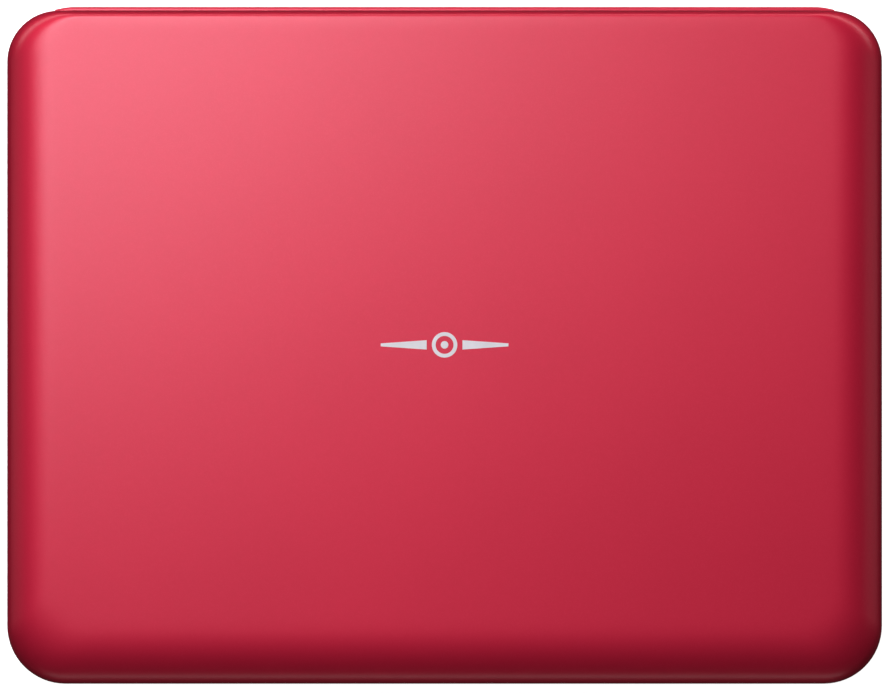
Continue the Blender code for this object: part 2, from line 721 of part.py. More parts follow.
def open_slider(made):
    """Ribbed slide on the deck that frees the disc lid: thumb pad, stem and the flange under the deck."""
    pad = rounded_rectangle(
        SLIDER_X - 7 * MM, SLIDER_X + 7 * MM, SLIDER_Y - 4.2 * MM, SLIDER_Y + 4.2 * MM, 2 * MM, steps=3
    )
    slider = made.piece(
        "open_slider", prism(pad, DECK_TOP + GAP, KEY_TOP + 0.1 * MM), "silver_plastic", "open_slider"
    )
    fuse(
        slider,
        box(SLIDER_X - 3 * MM, SLIDER_X + 3 * MM, SLIDER_Y - 2 * MM, SLIDER_Y + 2 * MM, 17 * MM, 21.8 * MM),
        box(
            SLIDER_X - 7 * MM, SLIDER_X + 7 * MM, SLIDER_Y - 5 * MM, SLIDER_Y + 5 * MM,
            16.6 * MM, KEY_FLANGE_TOP,
        ),
    )


# ---------------------------------------------------------------- disc lid and drive


def disc_lid(made):
    """Lid over the disc well, with the barrel and the two moulded pins it turns on."""
    left, right = SPINDLE_X - DISC_LID_HALF_WIDTH, SPINDLE_X + DISC_LID_HALF_WIDTH
    rings = [
        level(rounded_rectangle(left + d, right - d, DISC_LID_FRONT + d, DISC_LID_HINGE_Y, 2 * MM), z)
        for d, z in ((0.0, 19.8 * MM), (0.0, 21.0 * MM), (0.4 * MM, 21.4 * MM))
    ]
    lid = made.piece("disc_lid", loft(rings), "black_plastic", "disc_lid")
    hinge = (0, DISC_LID_HINGE_Y, DISC_LID_HINGE_Z)
    fuse(
        lid,
        rod(left, right, DISC_LID_BARREL, hinge, "X", 20),
        rod(left - 3 * MM, right + 3 * MM, 0.8 * MM, hinge, "X", 12),
    )


def drive_chassis(made):
    """Plate under the disc well, with the pickup's opening, the spindle's hole and three legs."""
    chassis = made.piece(
        "drive_chassis", box(-56 * MM, -0.5 * MM, -74 * MM, 20 * MM, 10.2 * MM, 11.4 * MM), "zinc_plate"
    )
    for x, y in ((-53.5, -56.0), (-53.5, 14.0), (-3.5, 17.0)):
        fuse(chassis, rod(3.8 * MM, 10.8 * MM, 2.2 * MM, (x * MM, y * MM, 0), steps=12))
    cut(
        chassis,
        box(SPINDLE_X - 16.5 * MM, SPINDLE_X + 16.5 * MM, -71 * MM, -17.5 * MM, 9 * MM, 12 * MM),
        rod(9 * MM, 12 * MM, 6 * MM, (SPINDLE_X, SPINDLE_Y, 0), steps=20),
    )


def spindle(made):
    """Flat motor under the chassis, and the turntable with the hub that grips the disc."""
    centre = (SPINDLE_X, SPINDLE_Y, 0)
    motor = [(4.0 * MM, 11 * MM), (5.0 * MM, 12 * MM), (9.6 * MM, 12 * MM)]
    made.piece("spindle_motor", turned(motor, centre), "zinc_plate")
    hub = [
        (9.9 * MM, 4.5 * MM),
        (15.0 * MM, 4.5 * MM),
        (15.0 * MM, 14.0 * MM),
        (15.9 * MM, 14.0 * MM),
        (15.9 * MM, 7.3 * MM),
        (17.6 * MM, 7.3 * MM),
        (18.2 * MM, 6.4 * MM),
    ]
    made.piece("turntable", turned(hub, centre), "black_plastic", "turntable")


def pickup(made):
    """Laser pickup on two rails, driven by a lead screw, and the feed motor that turns the screw."""
    x = SPINDLE_X
    carriage = made.piece(
        "pickup_carriage", box(x - 15 * MM, x + 15 * MM, -36 * MM, -20 * MM, 5.0 * MM, 11.7 * MM),
        "zinc_plate", "pickup",
    )
    fuse(
        carriage,
        box(x - RAIL_OFFSET - 2 * MM, x - 14 * MM, -34 * MM, -22 * MM, 5.9 * MM, 9.9 * MM),
        box(x + 14 * MM, SCREW_X + 2.5 * MM, -32 * MM, -24 * MM, 5.9 * MM, 9.9 * MM),
        box(x - 6 * MM, x + 6 * MM, LENS_Y - 4.2 * MM, LENS_Y + 4.2 * MM, 11 * MM, 13.0 * MM),
    )
    for side, hand in ((-1, "left"), (1, "right")):
        centre = (x + side * RAIL_OFFSET, 0, RAIL_Z)
        cut(carriage, rod(-40 * MM, -16 * MM, 1.3 * MM, centre, "Y", 14))
        rail = rod(-72.5 * MM, 14 * MM, 1.0 * MM, centre, "Y", 14)
        made.piece("guide_rail_" + hand, rail, "steel")
    screw_centre = (SCREW_X, 0, RAIL_Z)
    cut(carriage, rod(-40 * MM, -16 * MM, 1.5 * MM, screw_centre, "Y", 14))
    made.piece("lead_screw", rod(-72 * MM, 1.7 * MM, 1.2 * MM, screw_centre, "Y", 14), "brass", "lead_screw")
    made.piece("feed_motor", rod(2 * MM, 14 * MM, 3.8 * MM, screw_centre, "Y", 20), "zinc_plate")
    lens = [(13.3 * MM, 2.3 * MM), (13.7 * MM, 2.3 * MM), (14.1 * MM, 1.4 * MM)]
    made.piece("pickup_lens", turned(lens, (x, LENS_Y, 0), steps=20), "lens", "pickup")


# ---------------------------------------------------------------- the whole player


def main():
    clear_scene()
    made = Assembly()
    made.body("base")
    made.body("display", (0, HINGE_Y, HINGE_Z))
    made.body("disc_lid", (SPINDLE_X, DISC_LID_HINGE_Y, DISC_LID_HINGE_Z))
    made.body("turntable", (SPINDLE_X, SPINDLE_Y, 0))
    made.body("pickup", (SPINDLE_X, LENS_Y, RAIL_Z))
    made.body("lead_screw", (SCREW_X, 0, RAIL_Z))
    made.body("volume_wheel", (WHEEL_X, WHEEL_Y, WHEEL_BOTTOM))
    made.body("power_switch", (WIDTH / 2, SWITCH_Y, SWITCH_Z))
    made.body("open_slider", (SLIDER_X, SLIDER_Y, DECK_TOP))
    for name in key_outlines(0.0):
        made.body(name, (PAD_X, PAD_Y, KEY_TOP))
    for build in (
        lid_cover, screen_bezel, screen, speakers, screen_bumpers, hinge_barrel, hinge_trough,
        bottom_case, disc_well, top_case, battery, feet_and_screws, boards, jacks, front_and_lamp,
        volume_control, power_switch, keys, open_slider, disc_lid, drive_chassis, spindle, pickup,
    ):
        build(made)


main()
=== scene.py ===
"""Portable disc player with a folding screen: fine shapes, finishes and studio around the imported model.

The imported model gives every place. Lengths in this file are millimetres, and become metres where a mesh is
made. Each sub-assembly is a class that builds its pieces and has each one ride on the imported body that
carries it.
"""

import json
import logging
import math
from dataclasses import dataclass, field, replace
from enum import Enum
from typing import Callable, Sequence

import bmesh
import bpy
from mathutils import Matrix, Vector

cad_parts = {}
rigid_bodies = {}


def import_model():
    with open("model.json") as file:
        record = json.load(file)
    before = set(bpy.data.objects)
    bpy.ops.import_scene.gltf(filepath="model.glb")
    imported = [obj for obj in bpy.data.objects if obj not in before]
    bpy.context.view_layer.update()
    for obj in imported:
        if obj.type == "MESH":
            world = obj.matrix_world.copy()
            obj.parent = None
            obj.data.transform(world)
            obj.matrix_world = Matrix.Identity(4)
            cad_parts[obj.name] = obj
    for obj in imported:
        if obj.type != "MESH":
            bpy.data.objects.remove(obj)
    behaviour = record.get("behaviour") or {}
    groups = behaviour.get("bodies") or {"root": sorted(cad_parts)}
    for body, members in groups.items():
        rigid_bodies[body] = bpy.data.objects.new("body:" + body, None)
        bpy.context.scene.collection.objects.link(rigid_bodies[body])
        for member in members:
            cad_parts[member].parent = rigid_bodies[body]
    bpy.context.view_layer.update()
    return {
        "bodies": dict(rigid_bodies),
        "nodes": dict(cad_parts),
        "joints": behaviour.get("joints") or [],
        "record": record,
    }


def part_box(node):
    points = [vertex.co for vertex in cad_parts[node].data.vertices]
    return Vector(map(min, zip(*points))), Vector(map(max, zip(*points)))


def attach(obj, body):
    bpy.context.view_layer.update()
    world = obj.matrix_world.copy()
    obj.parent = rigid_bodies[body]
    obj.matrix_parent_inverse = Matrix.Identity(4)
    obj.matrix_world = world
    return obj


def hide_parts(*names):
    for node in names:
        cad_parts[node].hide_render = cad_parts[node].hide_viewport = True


LOG = logging.getLogger("player")
MM = 0.001

Point = tuple[float, float, float]
Outline = list[tuple[float, float]]
Inset = Callable[[float], Outline]


# ---------------------------------------------------------------- outlines


def rounded(x0: float, x1: float, y0: float, y1: float, radius: float, steps: int = 8,
            rear: float | None = None) -> Outline:
    """Outline of a rectangle with round corners, anticlockwise.

    Args:
        x0, x1, y0, y1: The rectangle's sides.
        radius: Radius of the corners, or of the front two where rear is given.
        steps: Segments in each corner.
        rear: Radius of the rear two corners.

    Returns:
        The corner points.
    """
    back = radius if rear is None else rear
    corners = (
        (x1 - radius, y0 + radius, radius, -90.0),
        (x1 - back, y1 - back, back, 0.0),
        (x0 + back, y1 - back, back, 90.0),
        (x0 + radius, y0 + radius, radius, 180.0),
    )
    outline = []
    for cx, cy, size, start in corners:
        for i in range(steps + 1):
            angle = math.radians(start + 90.0 * i / steps)
            outline.append((cx + size * math.cos(angle), cy + size * math.sin(angle)))
    return outline


def circle(cx: float, cy: float, radius: float, steps: int = 64) -> Outline:
    """Round outline about a centre."""
    turns = (2 * math.pi * i / steps for i in range(steps))
    return [(cx + radius * math.cos(a), cy + radius * math.sin(a)) for a in turns]


def sector(cx: float, cy: float, inner: float, outer: float, middle: float, half: float,
           inset: float, steps: int = 18) -> Outline:
    """Outline of a piece of a ring, such as an arrow key.

    Args:
        cx, cy: Centre of the ring.
        inner, outer: Radii of the ring.
        middle, half: Direction of the piece and half its spread, in degrees.
        inset: How far all its sides are pulled in.
        steps: Segments in each arc.

    Returns:
        The corner points.
    """
    outline = []
    for radius, direction in ((outer - inset, 1), (inner + inset, -1)):
        spread = math.radians(half) - inset / radius
        for i in range(steps + 1):
            angle = math.radians(middle) + direction * spread * (2 * i / steps - 1)
            outline.append((cx + radius * math.cos(angle), cy + radius * math.sin(angle)))
    return outline


def eased(profile: Outline, reach: float = 0.3, steps: int = 3) -> Outline:
    """Replaces each inner corner of a profile by a short curve.

    Args:
        profile: Corners of an open line.
        reach: How far from the corner the curve starts and ends, at most 0.45 of a side.
        steps: Segments in each curve.

    Returns:
        The points of the eased line.
    """
    made = [profile[0]]
    for before, corner, after in zip(profile, profile[1:], profile[2:]):
        middle = Vector(corner)
        ends = []
        for other in (before, after):
            side = Vector(other) - middle
            ends.append(middle + side.normalized() * min(reach, 0.45 * side.length))
        for i in range(steps + 1):
            t = i / steps
            point = ends[0] * (1 - t) ** 2 + middle * (2 * t * (1 - t)) + ends[1] * t**2
            made.append((point.x, point.y))
    made.append(profile[-1])
    return made


# ---------------------------------------------------------------- solids


@dataclass
class Shape:
    """Closed surfaces under construction, in millimetres."""

    points: list[Point] = field(default_factory=list)
    faces: list[tuple[int, ...]] = field(default_factory=list)

    def __add__(self, other: "Shape") -> "Shape":
        """Both shapes as one, side by side."""
        start = len(self.points)
        faces = [tuple(start + i for i in face) for face in other.faces]
        return Shape(self.points + other.points, self.faces + faces)

    def to_object(self, name: str) -> bpy.types.Object:
        """Makes the mesh, in metres, with its faces outward.

        Args:
            name: The object's name.

        Returns:
            The object, linked to the scene.
        """
        work = bmesh.new()
        corners = [work.verts.new((x * MM, y * MM, z * MM)) for x, y, z in self.points]
        for face in self.faces:
            work.faces.new([corners[i] for i in face])
        bmesh.ops.recalc_face_normals(work, faces=work.faces)
        mesh = bpy.data.meshes.new(name)
        work.to_mesh(mesh)
        work.free()
        made = bpy.data.objects.new(name, mesh)
        bpy.context.scene.collection.objects.link(made)
        return made


def level(outline: Outline, z: float) -> list[Point]:
    """The outline's points at height z."""
    return [(x, y, z) for x, y in outline]


def loft(rings: Sequence[Sequence[Point]], closed: bool = False) -> Shape:
    """Skin over rings with equal numbers of points, capped at both ends unless it closes on itself.

    Args:
        rings: The rings, in order.
        closed: Whether the last ring joins the first.

    Returns:
        The closed skin.
    """
    count, last = len(rings[0]), len(rings) - 1
    faces: list[tuple[int, ...]] = []
    for row in range(last + int(closed)):
        low, high = row * count, (row + 1) % len(rings) * count
        faces += [(low + i, low + (i + 1) % count, high + (i + 1) % count, high + i) for i in range(count)]
    if not closed:
        faces += [tuple(range(count)), tuple(range(last * count, (last + 1) * count))]
    return Shape([point for ring in rings for point in ring], faces)


def prism(outline: Outline, low: float, high: float) -> Shape:
    """Straight plate between two heights."""
    return loft([level(outline, low), level(outline, high)])


def slab(outline: Inset, low: float, high: float, edge: float = 0.25, steps: int = 3) -> Shape:
    """Plate whose top and bottom edges are rounded.

    Args:
        outline: Gives the outline for an inset.
        low, high: Its heights.
        edge: Radius of the rounded edges.
        steps: Segments in each rounded edge.

    Returns:
        The plate.
    """
    turns = [math.pi / 2 * i / steps for i in range(steps + 1)]
    rings = [level(outline(edge * (1 - math.sin(t))), low + edge * (1 - math.cos(t))) for t in turns]
    rings += [level(outline(edge * (1 - math.cos(t))), high - edge * (1 - math.sin(t))) for t in turns]
    return loft(rings)


def block(x0: float, x1: float, y0: float, y1: float, low: float, high: float, edge: float = 0.2,
          radius: float | None = None) -> Shape:
    """Rectangular plate with rounded edges and corners.

    Args:
        x0, x1, y0, y1: Its sides.
        low, high: Its heights.
        edge: Radius of its top and bottom edges.
        radius: Radius of its corners in plan, twice the edge unless given.

    Returns:
        The plate.
    """
    corner = 2 * edge if radius is None else radius
    return slab(lambda d: rounded(x0 + d, x1 - d, y0 + d, y1 - d, corner - d), low, high, edge)


def lathe(profile: Outline, centre: Point = (0.0, 0.0, 0.0), axis: str = "Z", steps: int = 64,
          closed: bool = False) -> Shape:
    """Round solid about an axis.

    Args:
        profile: Pairs of place along the axis and radius.
        centre: A point on the axis.
        axis: X, Y or Z.
        steps: Segments round the axis.
        closed: Whether the profile closes on itself, as a ring's does.

    Returns:
        The solid.
    """
    order = {"X": (0, 1, 2), "Y": (1, 2, 0), "Z": (2, 0, 1)}[axis]
    rings = []
    for place, radius in profile:
        ring = []
        for i in range(steps):
            angle = 2 * math.pi * i / steps
            point = [0.0, 0.0, 0.0]
            point[order[0]] = place
            point[order[1]] = centre[order[1]] + radius * math.cos(angle)
            point[order[2]] = centre[order[2]] + radius * math.sin(angle)
            ring.append((point[0], point[1], point[2]))
        rings.append(ring)
    return loft(rings, closed)


def rod(start: float, end: float, radius: float, centre: Point, axis: str = "Z", steps: int = 64) -> Shape:
    """Straight round rod or cutter."""
    return lathe([(start, radius), (end, radius)], centre, axis, steps)


def carve(target: bpy.types.Object, joins: Sequence[Shape], cuts: Sequence[Shape]) -> None:
    """Joins shapes to an object and cuts others out of it, exactly.

    Args:
        target: The object whose mesh is remade.
        joins: Shapes that are added.
        cuts: Shapes that are taken away afterwards.
    """
    tools = []
    for operation, shapes in (("UNION", joins), ("DIFFERENCE", cuts)):
        for shape in shapes:
            tool = shape.to_object("tool")
            modifier = target.modifiers.new(operation.lower(), "BOOLEAN")
            modifier.operation = operation
            modifier.object = tool
            tools.append(tool)
    graph = bpy.context.evaluated_depsgraph_get()
    mesh = bpy.data.meshes.new_from_object(target.evaluated_get(graph))
    target.modifiers.clear()
    blank, target.data = target.data, mesh
    bpy.data.meshes.remove(blank)
    for tool in tools:
        unused = tool.data
        bpy.data.objects.remove(tool)
        bpy.data.meshes.remove(unused)


# ---------------------------------------------------------------- finishes


def linear(code: str) -> tuple[float, float, float, float]:
    """Turns an sRGB hex colour into linear light.

    Args:
        code: Six hex digits.

    Returns:
        Red, green, blue and full opacity.
    """
    parts = [int(code[i:i + 2], 16) / 255 for i in (0, 2, 4)]
    red, green, blue = (p / 12.92 if p <= 0.04045 else ((p + 0.055) / 1.055) ** 2.4 for p in parts)
    return red, green, blue, 1.0


def add_node(tree: bpy.types.NodeTree, kind: str, settings: dict | None = None,
             inputs: dict | None = None) -> bpy.types.Node:
    """Adds a node with its settings, and links or sets its inputs.

    Args:
        tree: The node tree.
        kind: The node's type.
        settings: Its properties by name.
        inputs: For each input, by name or number, a socket to link or a value to set.

    Returns:
        The node.
    """
    node = tree.nodes.new(kind)
    for key, value in (settings or {}).items():
        setattr(node, key, value)
    for key, value in (inputs or {}).items():
        if isinstance(value, bpy.types.NodeSocket):
            tree.links.new(value, node.inputs[key])
        else:
            node.inputs[key].default_value = value
    return node


class Relief(Enum):
    """How a surface's fine relief runs: its share of the grain size along X, Y and Z."""

    SPECKLE = (1.0, 1.0, 1.0)
    ALONG_Y = (1.0, 0.03, 1.0)
    ROUND_X = (1.0, 0.05, 0.05)
    ROUND_Y = (0.05, 1.0, 0.05)


@dataclass(frozen=True)
class Finish:
    """A material and how its surface was made.

    Two colours are mixed in soft patches, the roughness wanders with the grain, and the grain stands out as
    a fine relief.
    """

    name: str
    slot: str
    colour: str
    shade: str
    roughness: tuple[float, float]
    metallic: float = 0.0
    ior: float = 1.5
    relief: Relief = Relief.SPECKLE
    grain: float = 0.5
    depth: float = 0.01
    patch: float = 20.0
    coat: float = 0.0
    coat_roughness: float = 0.1

    def material(self) -> bpy.types.Material:
        """Returns the material, made the first time it is asked for."""
        found = bpy.data.materials.get(self.name)
        if found:
            return found
        made = bpy.data.materials.new(self.name)
        made.use_nodes = True
        made.node_tree.nodes.clear()
        shader = self.shader(made.node_tree)
        add_node(made.node_tree, "ShaderNodeOutputMaterial", inputs={"Surface": shader.outputs[0]})
        return made

    def pattern(self, tree: bpy.types.NodeTree, size: float, detail: float = 2.0,
                relief: Relief = Relief.SPECKLE) -> bpy.types.NodeSocket:
        """Adds a noise pattern on the piece's own coordinates.

        Args:
            tree: The material's node tree.
            size: Size of one grain.
            detail: How many finer octaves it has.
            relief: How the grain runs.

        Returns:
            The pattern's value, from 0 to 1.
        """
        place = add_node(tree, "ShaderNodeTexCoord").outputs["Object"]
        scaled = add_node(tree, "ShaderNodeMapping", inputs={"Vector": place, "Scale": relief.value})
        noise = add_node(
            tree, "ShaderNodeTexNoise",
            inputs={"Vector": scaled.outputs[0], "Scale": 1 / (size * MM), "Detail": detail},
        )
        return noise.outputs["Fac"]

    def spread(self, tree: bpy.types.NodeTree, value: bpy.types.NodeSocket, low: float,
               high: float) -> bpy.types.NodeSocket:
        """Widens a noise pattern's middle half to the range from low to high."""
        span = {"Value": value, "From Min": 0.3, "From Max": 0.7, "To Min": low, "To Max": high}
        return add_node(tree, "ShaderNodeMapRange", inputs=span).outputs[0]

    def mixed(self, tree: bpy.types.NodeTree, factor: bpy.types.NodeSocket, first: object,
              second: object) -> bpy.types.NodeSocket:
        """Mixes two colours, each a colour or a socket, by a factor."""
        settings = {"data_type": "RGBA"}
        return add_node(tree, "ShaderNodeMix", settings, {0: factor, 6: first, 7: second}).outputs[2]

    def surface(self, tree: bpy.types.NodeTree) -> dict:
        """Gives the shader's inputs: colour in patches, roughness and relief from the grain."""
        grain = self.pattern(tree, self.grain, relief=self.relief)
        patches = self.spread(tree, self.pattern(tree, self.patch), 0.0, 1.0)
        bump = add_node(tree, "ShaderNodeBump", inputs={"Height": grain, "Distance": self.depth * MM})
        return {
            "Base Color": self.mixed(tree, patches, linear(self.colour), linear(self.shade)),
            "Roughness": self.spread(tree, grain, *self.roughness),
            "Normal": bump.outputs[0],
            "Metallic": self.metallic,
            "IOR": self.ior,
            "Coat Weight": self.coat,
            "Coat Roughness": self.coat_roughness,
        }

    def shader(self, tree: bpy.types.NodeTree) -> bpy.types.Node:
        """Makes the finish's shader node."""
        return add_node(tree, "ShaderNodeBsdfPrincipled", inputs=self.surface(tree))


@dataclass(frozen=True)
class Lacquer(Finish):
    """Metallic lacquer: aluminium flakes in tinted clear coat over moulded plastic."""

    flake: float = 0.4
    flake_colour: str = "ffffff"
    glint: float = 0.16

    def surface(self, tree: bpy.types.NodeTree) -> dict:
        """Adds flakes to the plain finish: single cells a little lighter than the rest."""
        inputs = super().surface(tree)
        place = add_node(tree, "ShaderNodeTexCoord").outputs["Object"]
        cells = add_node(
            tree, "ShaderNodeTexVoronoi", inputs={"Vector": place, "Scale": 1 / (self.flake * MM)}
        )
        share = {"Value": cells.outputs["Distance"], "From Min": 0.0, "From Max": 0.45,
                 "To Min": self.glint, "To Max": 0.0}
        glint = add_node(tree, "ShaderNodeMapRange", inputs=share).outputs[0]
        inputs["Base Color"] = self.mixed(tree, glint, inputs["Base Color"], linear(self.flake_colour))
        return inputs


@dataclass(frozen=True)
class Clear(Finish):
    """Clear acrylic: light passes with a slight grey tint."""

    def surface(self, tree: bpy.types.NodeTree) -> dict:
        """Lets light through the plain finish."""
        return super().surface(tree) | {"Transmission Weight": 0.96}


@dataclass(frozen=True)
class Board(Finish):
    """Glass-fibre circuit board: copper tracks show as lighter lines under green solder mask."""

    track: float = 1.6
    track_colour: str = "2f7a46"

    def surface(self, tree: bpy.types.NodeTree) -> dict:
        """Adds the tracks to the plain finish, as the seams of a staggered grid."""
        inputs = super().surface(tree)
        place = add_node(tree, "ShaderNodeTexCoord").outputs["Object"]
        grid = add_node(
            tree, "ShaderNodeTexBrick",
            inputs={"Vector": place, "Scale": 1 / (4 * self.track * MM), "Mortar Size": 0.04,
                    "Color1": (0, 0, 0, 1), "Color2": (0.25, 0.25, 0.25, 1), "Mortar": (1, 1, 1, 1)},
        )
        inputs["Base Color"] = self.mixed(
            tree, grid.outputs["Fac"], inputs["Base Color"], linear(self.track_colour)
        )
        return inputs


@dataclass(frozen=True)
class Display(Finish):
    """Unlit liquid crystal panel: near black behind its polarizer, with its rows of cells just visible."""

    row: float = 0.9

    def surface(self, tree: bpy.types.NodeTree) -> dict:
        """Adds the rows of cells to the plain finish."""
        inputs = super().surface(tree)
        place = add_node(tree, "ShaderNodeTexCoord").outputs["Object"]
        rows = add_node(
            tree, "ShaderNodeTexWave", {"bands_direction": "Y"},
            {"Vector": place, "Scale": 1 / (self.row * MM * 20 / (2 * math.pi) * 2), "Distortion": 0.0},
        )
        faint = add_node(
            tree, "ShaderNodeMapRange", inputs={"Value": rows.outputs["Fac"], "To Min": 0.0, "To Max": 0.35}
        ).outputs[0]
        inputs["Base Color"] = self.mixed(tree, faint, inputs["Base Color"], linear("1b222b"))
        return inputs


# Sprayed in two coats: a satin aluminium flake in red, under a clear coat that softens every highlight.
# Real flakes are 0.03 mm, too fine to see: they are drawn at 0.4 mm.
RED_LACQUER = Lacquer(
    "abs_sprayed_metallic_red_lacquer", "red_lacquer", "e01c44", "dc1a42", (0.65, 0.68), metallic=0.92,
    grain=1.4, depth=0.002, patch=60.0, coat=1.0, coat_roughness=0.34, flake_colour="ff8094", glint=0.05,
)
# ABS from a spark-eroded mould: a dry fine grain that keeps the deck from mirroring. Grain 0.15 mm, drawn
# at 0.35 mm.
BLACK_ABS = Finish(
    "abs_spark_eroded_black", "black_plastic", "17181a", "1c1d20", (0.42, 0.56), grain=0.35, depth=0.02,
    patch=30.0,
)
# ABS from a polished mould: mirrors softly, with the faint swirl that handling leaves.
GLOSS_BLACK = Finish(
    "abs_polished_black", "gloss_black", "0b0b0d", "101014", (0.12, 0.17),
    grain=9.0, depth=0.0003, patch=45.0,
    coat=0.5, coat_roughness=0.05,
)
# ABS sprayed with fine silver: light keys with a silky, even sparkle. Flakes drawn at 0.25 mm.
SILVER_PAINT = Lacquer(
    "abs_sprayed_silver", "silver_plastic", "b4b6ba", "a9acb1", (0.34, 0.42), metallic=0.7, grain=0.5,
    depth=0.004, coat=0.2, coat_roughness=0.25, flake=0.25,
)
# Ground steel rod: fine turning marks round the rod. Marks 0.02 mm apart, drawn at 0.3 mm.
GROUND_STEEL = Finish(
    "steel_ground_rod", "steel", "b9bcc0", "a4a7ab", (0.18, 0.3), metallic=1.0, grain=0.3, depth=0.004,
    relief=Relief.ROUND_X,
)
# The same steel in the rails, which run from front to back.
GROUND_RAIL = replace(GROUND_STEEL, name="steel_ground_rail", relief=Relief.ROUND_Y)
# Steel screws, blackened in oil: dull grey black with bright worn spots.
BLACK_SCREW = Finish(
    "steel_blackened_screw", "steel", "3b3c3f", "5c5d60", (0.3, 0.5), metallic=1.0, grain=0.4, depth=0.01,
    patch=1.5,
)
# Pressed sheet with zinc plating: pale, slightly blue, with rolling marks along the sheet, drawn at 0.4 mm.
ZINC_PLATE = Finish(
    "steel_pressed_zinc_plated", "zinc_plate", "a9aeb4", "8f959c", (0.28, 0.44), metallic=1.0, grain=0.4,
    depth=0.006, relief=Relief.ALONG_Y, patch=12.0,
)
# Glass-fibre laminate with green solder mask: half gloss over a woven base. Weave drawn at 0.8 mm.
CIRCUIT_BOARD = Board(
    "glass_fibre_laminate_solder_masked", "circuit_board", "14502c", "1a5a34", (0.3, 0.42), grain=0.8,
    depth=0.01,
)
# Moulded rubber: matt, slightly dusty dark grey.
RUBBER = Finish(
    "rubber_moulded_matt", "rubber", "1d1d1e", "29292a", (0.75, 0.92), grain=0.4, depth=0.03, patch=4.0,
)
# Acrylic sheet, cut and flame polished: nearly invisible but for its reflections.
CLEAR_ACRYLIC = Clear(
    "acrylic_cast_clear", "glass", "e8eaec", "e2e5e8", (0.0, 0.03), ior=1.49, grain=9.0, depth=0.001,
)
# Panel glass under a matt polarizer: black with a soft bluish sheen. Rows 0.1 mm apart, drawn at 0.9 mm.
POLARIZER = Display(
    "glass_laminated_polarizer", "glass", "0c1016", "10151c", (0.2, 0.3), grain=0.5, depth=0.002, coat=0.3,
)
# Shrink sleeve over cells: half gloss dark blue that stretches over their edges.
SHRINK_SLEEVE = Finish(
    "pvc_shrunk_sleeve", "battery_wrap", "1c2a4e", "23335c", (0.25, 0.4), grain=2.5, depth=0.03,
)
# Pressed glass lens with a blue anti-reflection coat.
COATED_LENS = Finish(
    "glass_pressed_coated_lens", "lens", "33406e", "4a4a86", (0.02, 0.06), ior=1.7, grain=2.0, depth=0.001,
    patch=1.5, coat=1.0, coat_roughness=0.02,
)
# Polycarbonate light pipe: milky, slightly green while it is off.
LIGHT_PIPE = Finish(
    "polycarbonate_moulded_light_pipe", "lamp", "b9c9b4", "a8bba4", (0.2, 0.3), ior=1.58, grain=1.0,
    depth=0.004, patch=3.0,
)
# Turned brass: warm metal with the tool's rings.
TURNED_BRASS = Finish(
    "brass_turned", "brass", "b8924a", "a98242", (0.2, 0.34), metallic=1.0, grain=0.4, depth=0.006,
    patch=3.0, relief=Relief.ROUND_Y,
)
# Nickel plate on the sockets' rims: bright and slightly yellow.
NICKEL = Finish(
    "brass_nickel_plated", "steel", "c9c5bb", "bdb9ae", (0.14, 0.24), metallic=1.0, grain=0.6, depth=0.003,
    patch=2.0,
)
# Pad-printed ink: opaque white, a touch matt at its edges.
WHITE_INK = Finish(
    "ink_pad_printed_white", "silver_plastic", "f2eeee", "e8e3e4", (0.4, 0.55), grain=0.3, depth=0.003,
    patch=4.0,
)
# Pad-printed ink: dense black, smoother than the silver round it.
BLACK_INK = Finish(
    "ink_pad_printed_black", "black_plastic", "151517", "1b1b1e", (0.3, 0.42), grain=0.3, depth=0.003,
    patch=4.0,
)
# Black sheet under the drive, painted shade for the dark seen through the pickup's slot: half gloss black
# that lies in faint waves, and hides the shell's floor.
PAINTED_SHADE_SHEET = Finish(
    "black_sheet_painted_shade", "black_plastic", "0e0e10", "141417", (0.24, 0.36), grain=9.0, depth=0.03,
    patch=25.0,
)
# Pressed paper cone: soft grey black fibres, drawn at 0.5 mm.
PAPER_CONE = Finish(
    "paper_pressed_cone", "black_plastic", "262422", "33302d", (0.8, 0.95),
    grain=0.5, depth=0.06, patch=3.0,
)


# ---------------------------------------------------------------- frame and workshop


class Workshop:
    """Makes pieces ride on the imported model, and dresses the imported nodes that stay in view."""

    def __init__(self, frame: dict) -> None:
        """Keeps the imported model's nodes."""
        self.nodes = frame["nodes"]

    def extent(self, node: str) -> tuple[Point, Point]:
        """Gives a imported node's lowest and highest corner, in millimetres.

        Args:
            node: The node's name.

        Returns:
            Both corners.
        """
        low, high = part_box(node)
        return tuple(v / MM for v in low), tuple(v / MM for v in high)

    def middle(self, node: str) -> Point:
        """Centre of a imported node's box, in millimetres."""
        low, high = self.extent(node)
        return tuple((a + b) / 2 for a, b in zip(low, high))

    def add(self, name: str, shape: Shape, finish: Finish, body: str = "base", replaces: Sequence[str] = (),
            joins: Sequence[Shape] = (), cuts: Sequence[Shape] = (),
            sharp: float = 32.0) -> bpy.types.Object:
        """Makes a piece, finishes it and lets it ride on a body.

        Args:
            name: The piece's name.
            shape: Its shape.
            finish: Its material.
            body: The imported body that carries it.
            replaces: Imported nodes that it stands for.
            joins: Shapes joined to it.
            cuts: Shapes cut out of it.
            sharp: Angle in degrees from which an edge stays sharp.

        Returns:
            The piece.
        """
        piece = shape.to_object(name)
        if joins or cuts:
            carve(piece, joins, cuts)
        piece.data.shade_smooth()
        piece.data.set_sharp_from_angle(angle=math.radians(sharp))
        piece.data.materials.clear()
        piece.data.materials.append(finish.material())
        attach(piece, body)
        if replaces:
            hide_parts(*replaces)
        LOG.info("%s on %s: %d faces", name, body, len(piece.data.polygons))
        return piece

    def dress(self, finish: Finish, *nodes: str) -> None:
        """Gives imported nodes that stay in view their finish."""
        for node in nodes:
            materials = self.nodes[node].data.materials
            materials.clear()
            materials.append(finish.material())
            LOG.info("%s dressed in %s", node, finish.name)


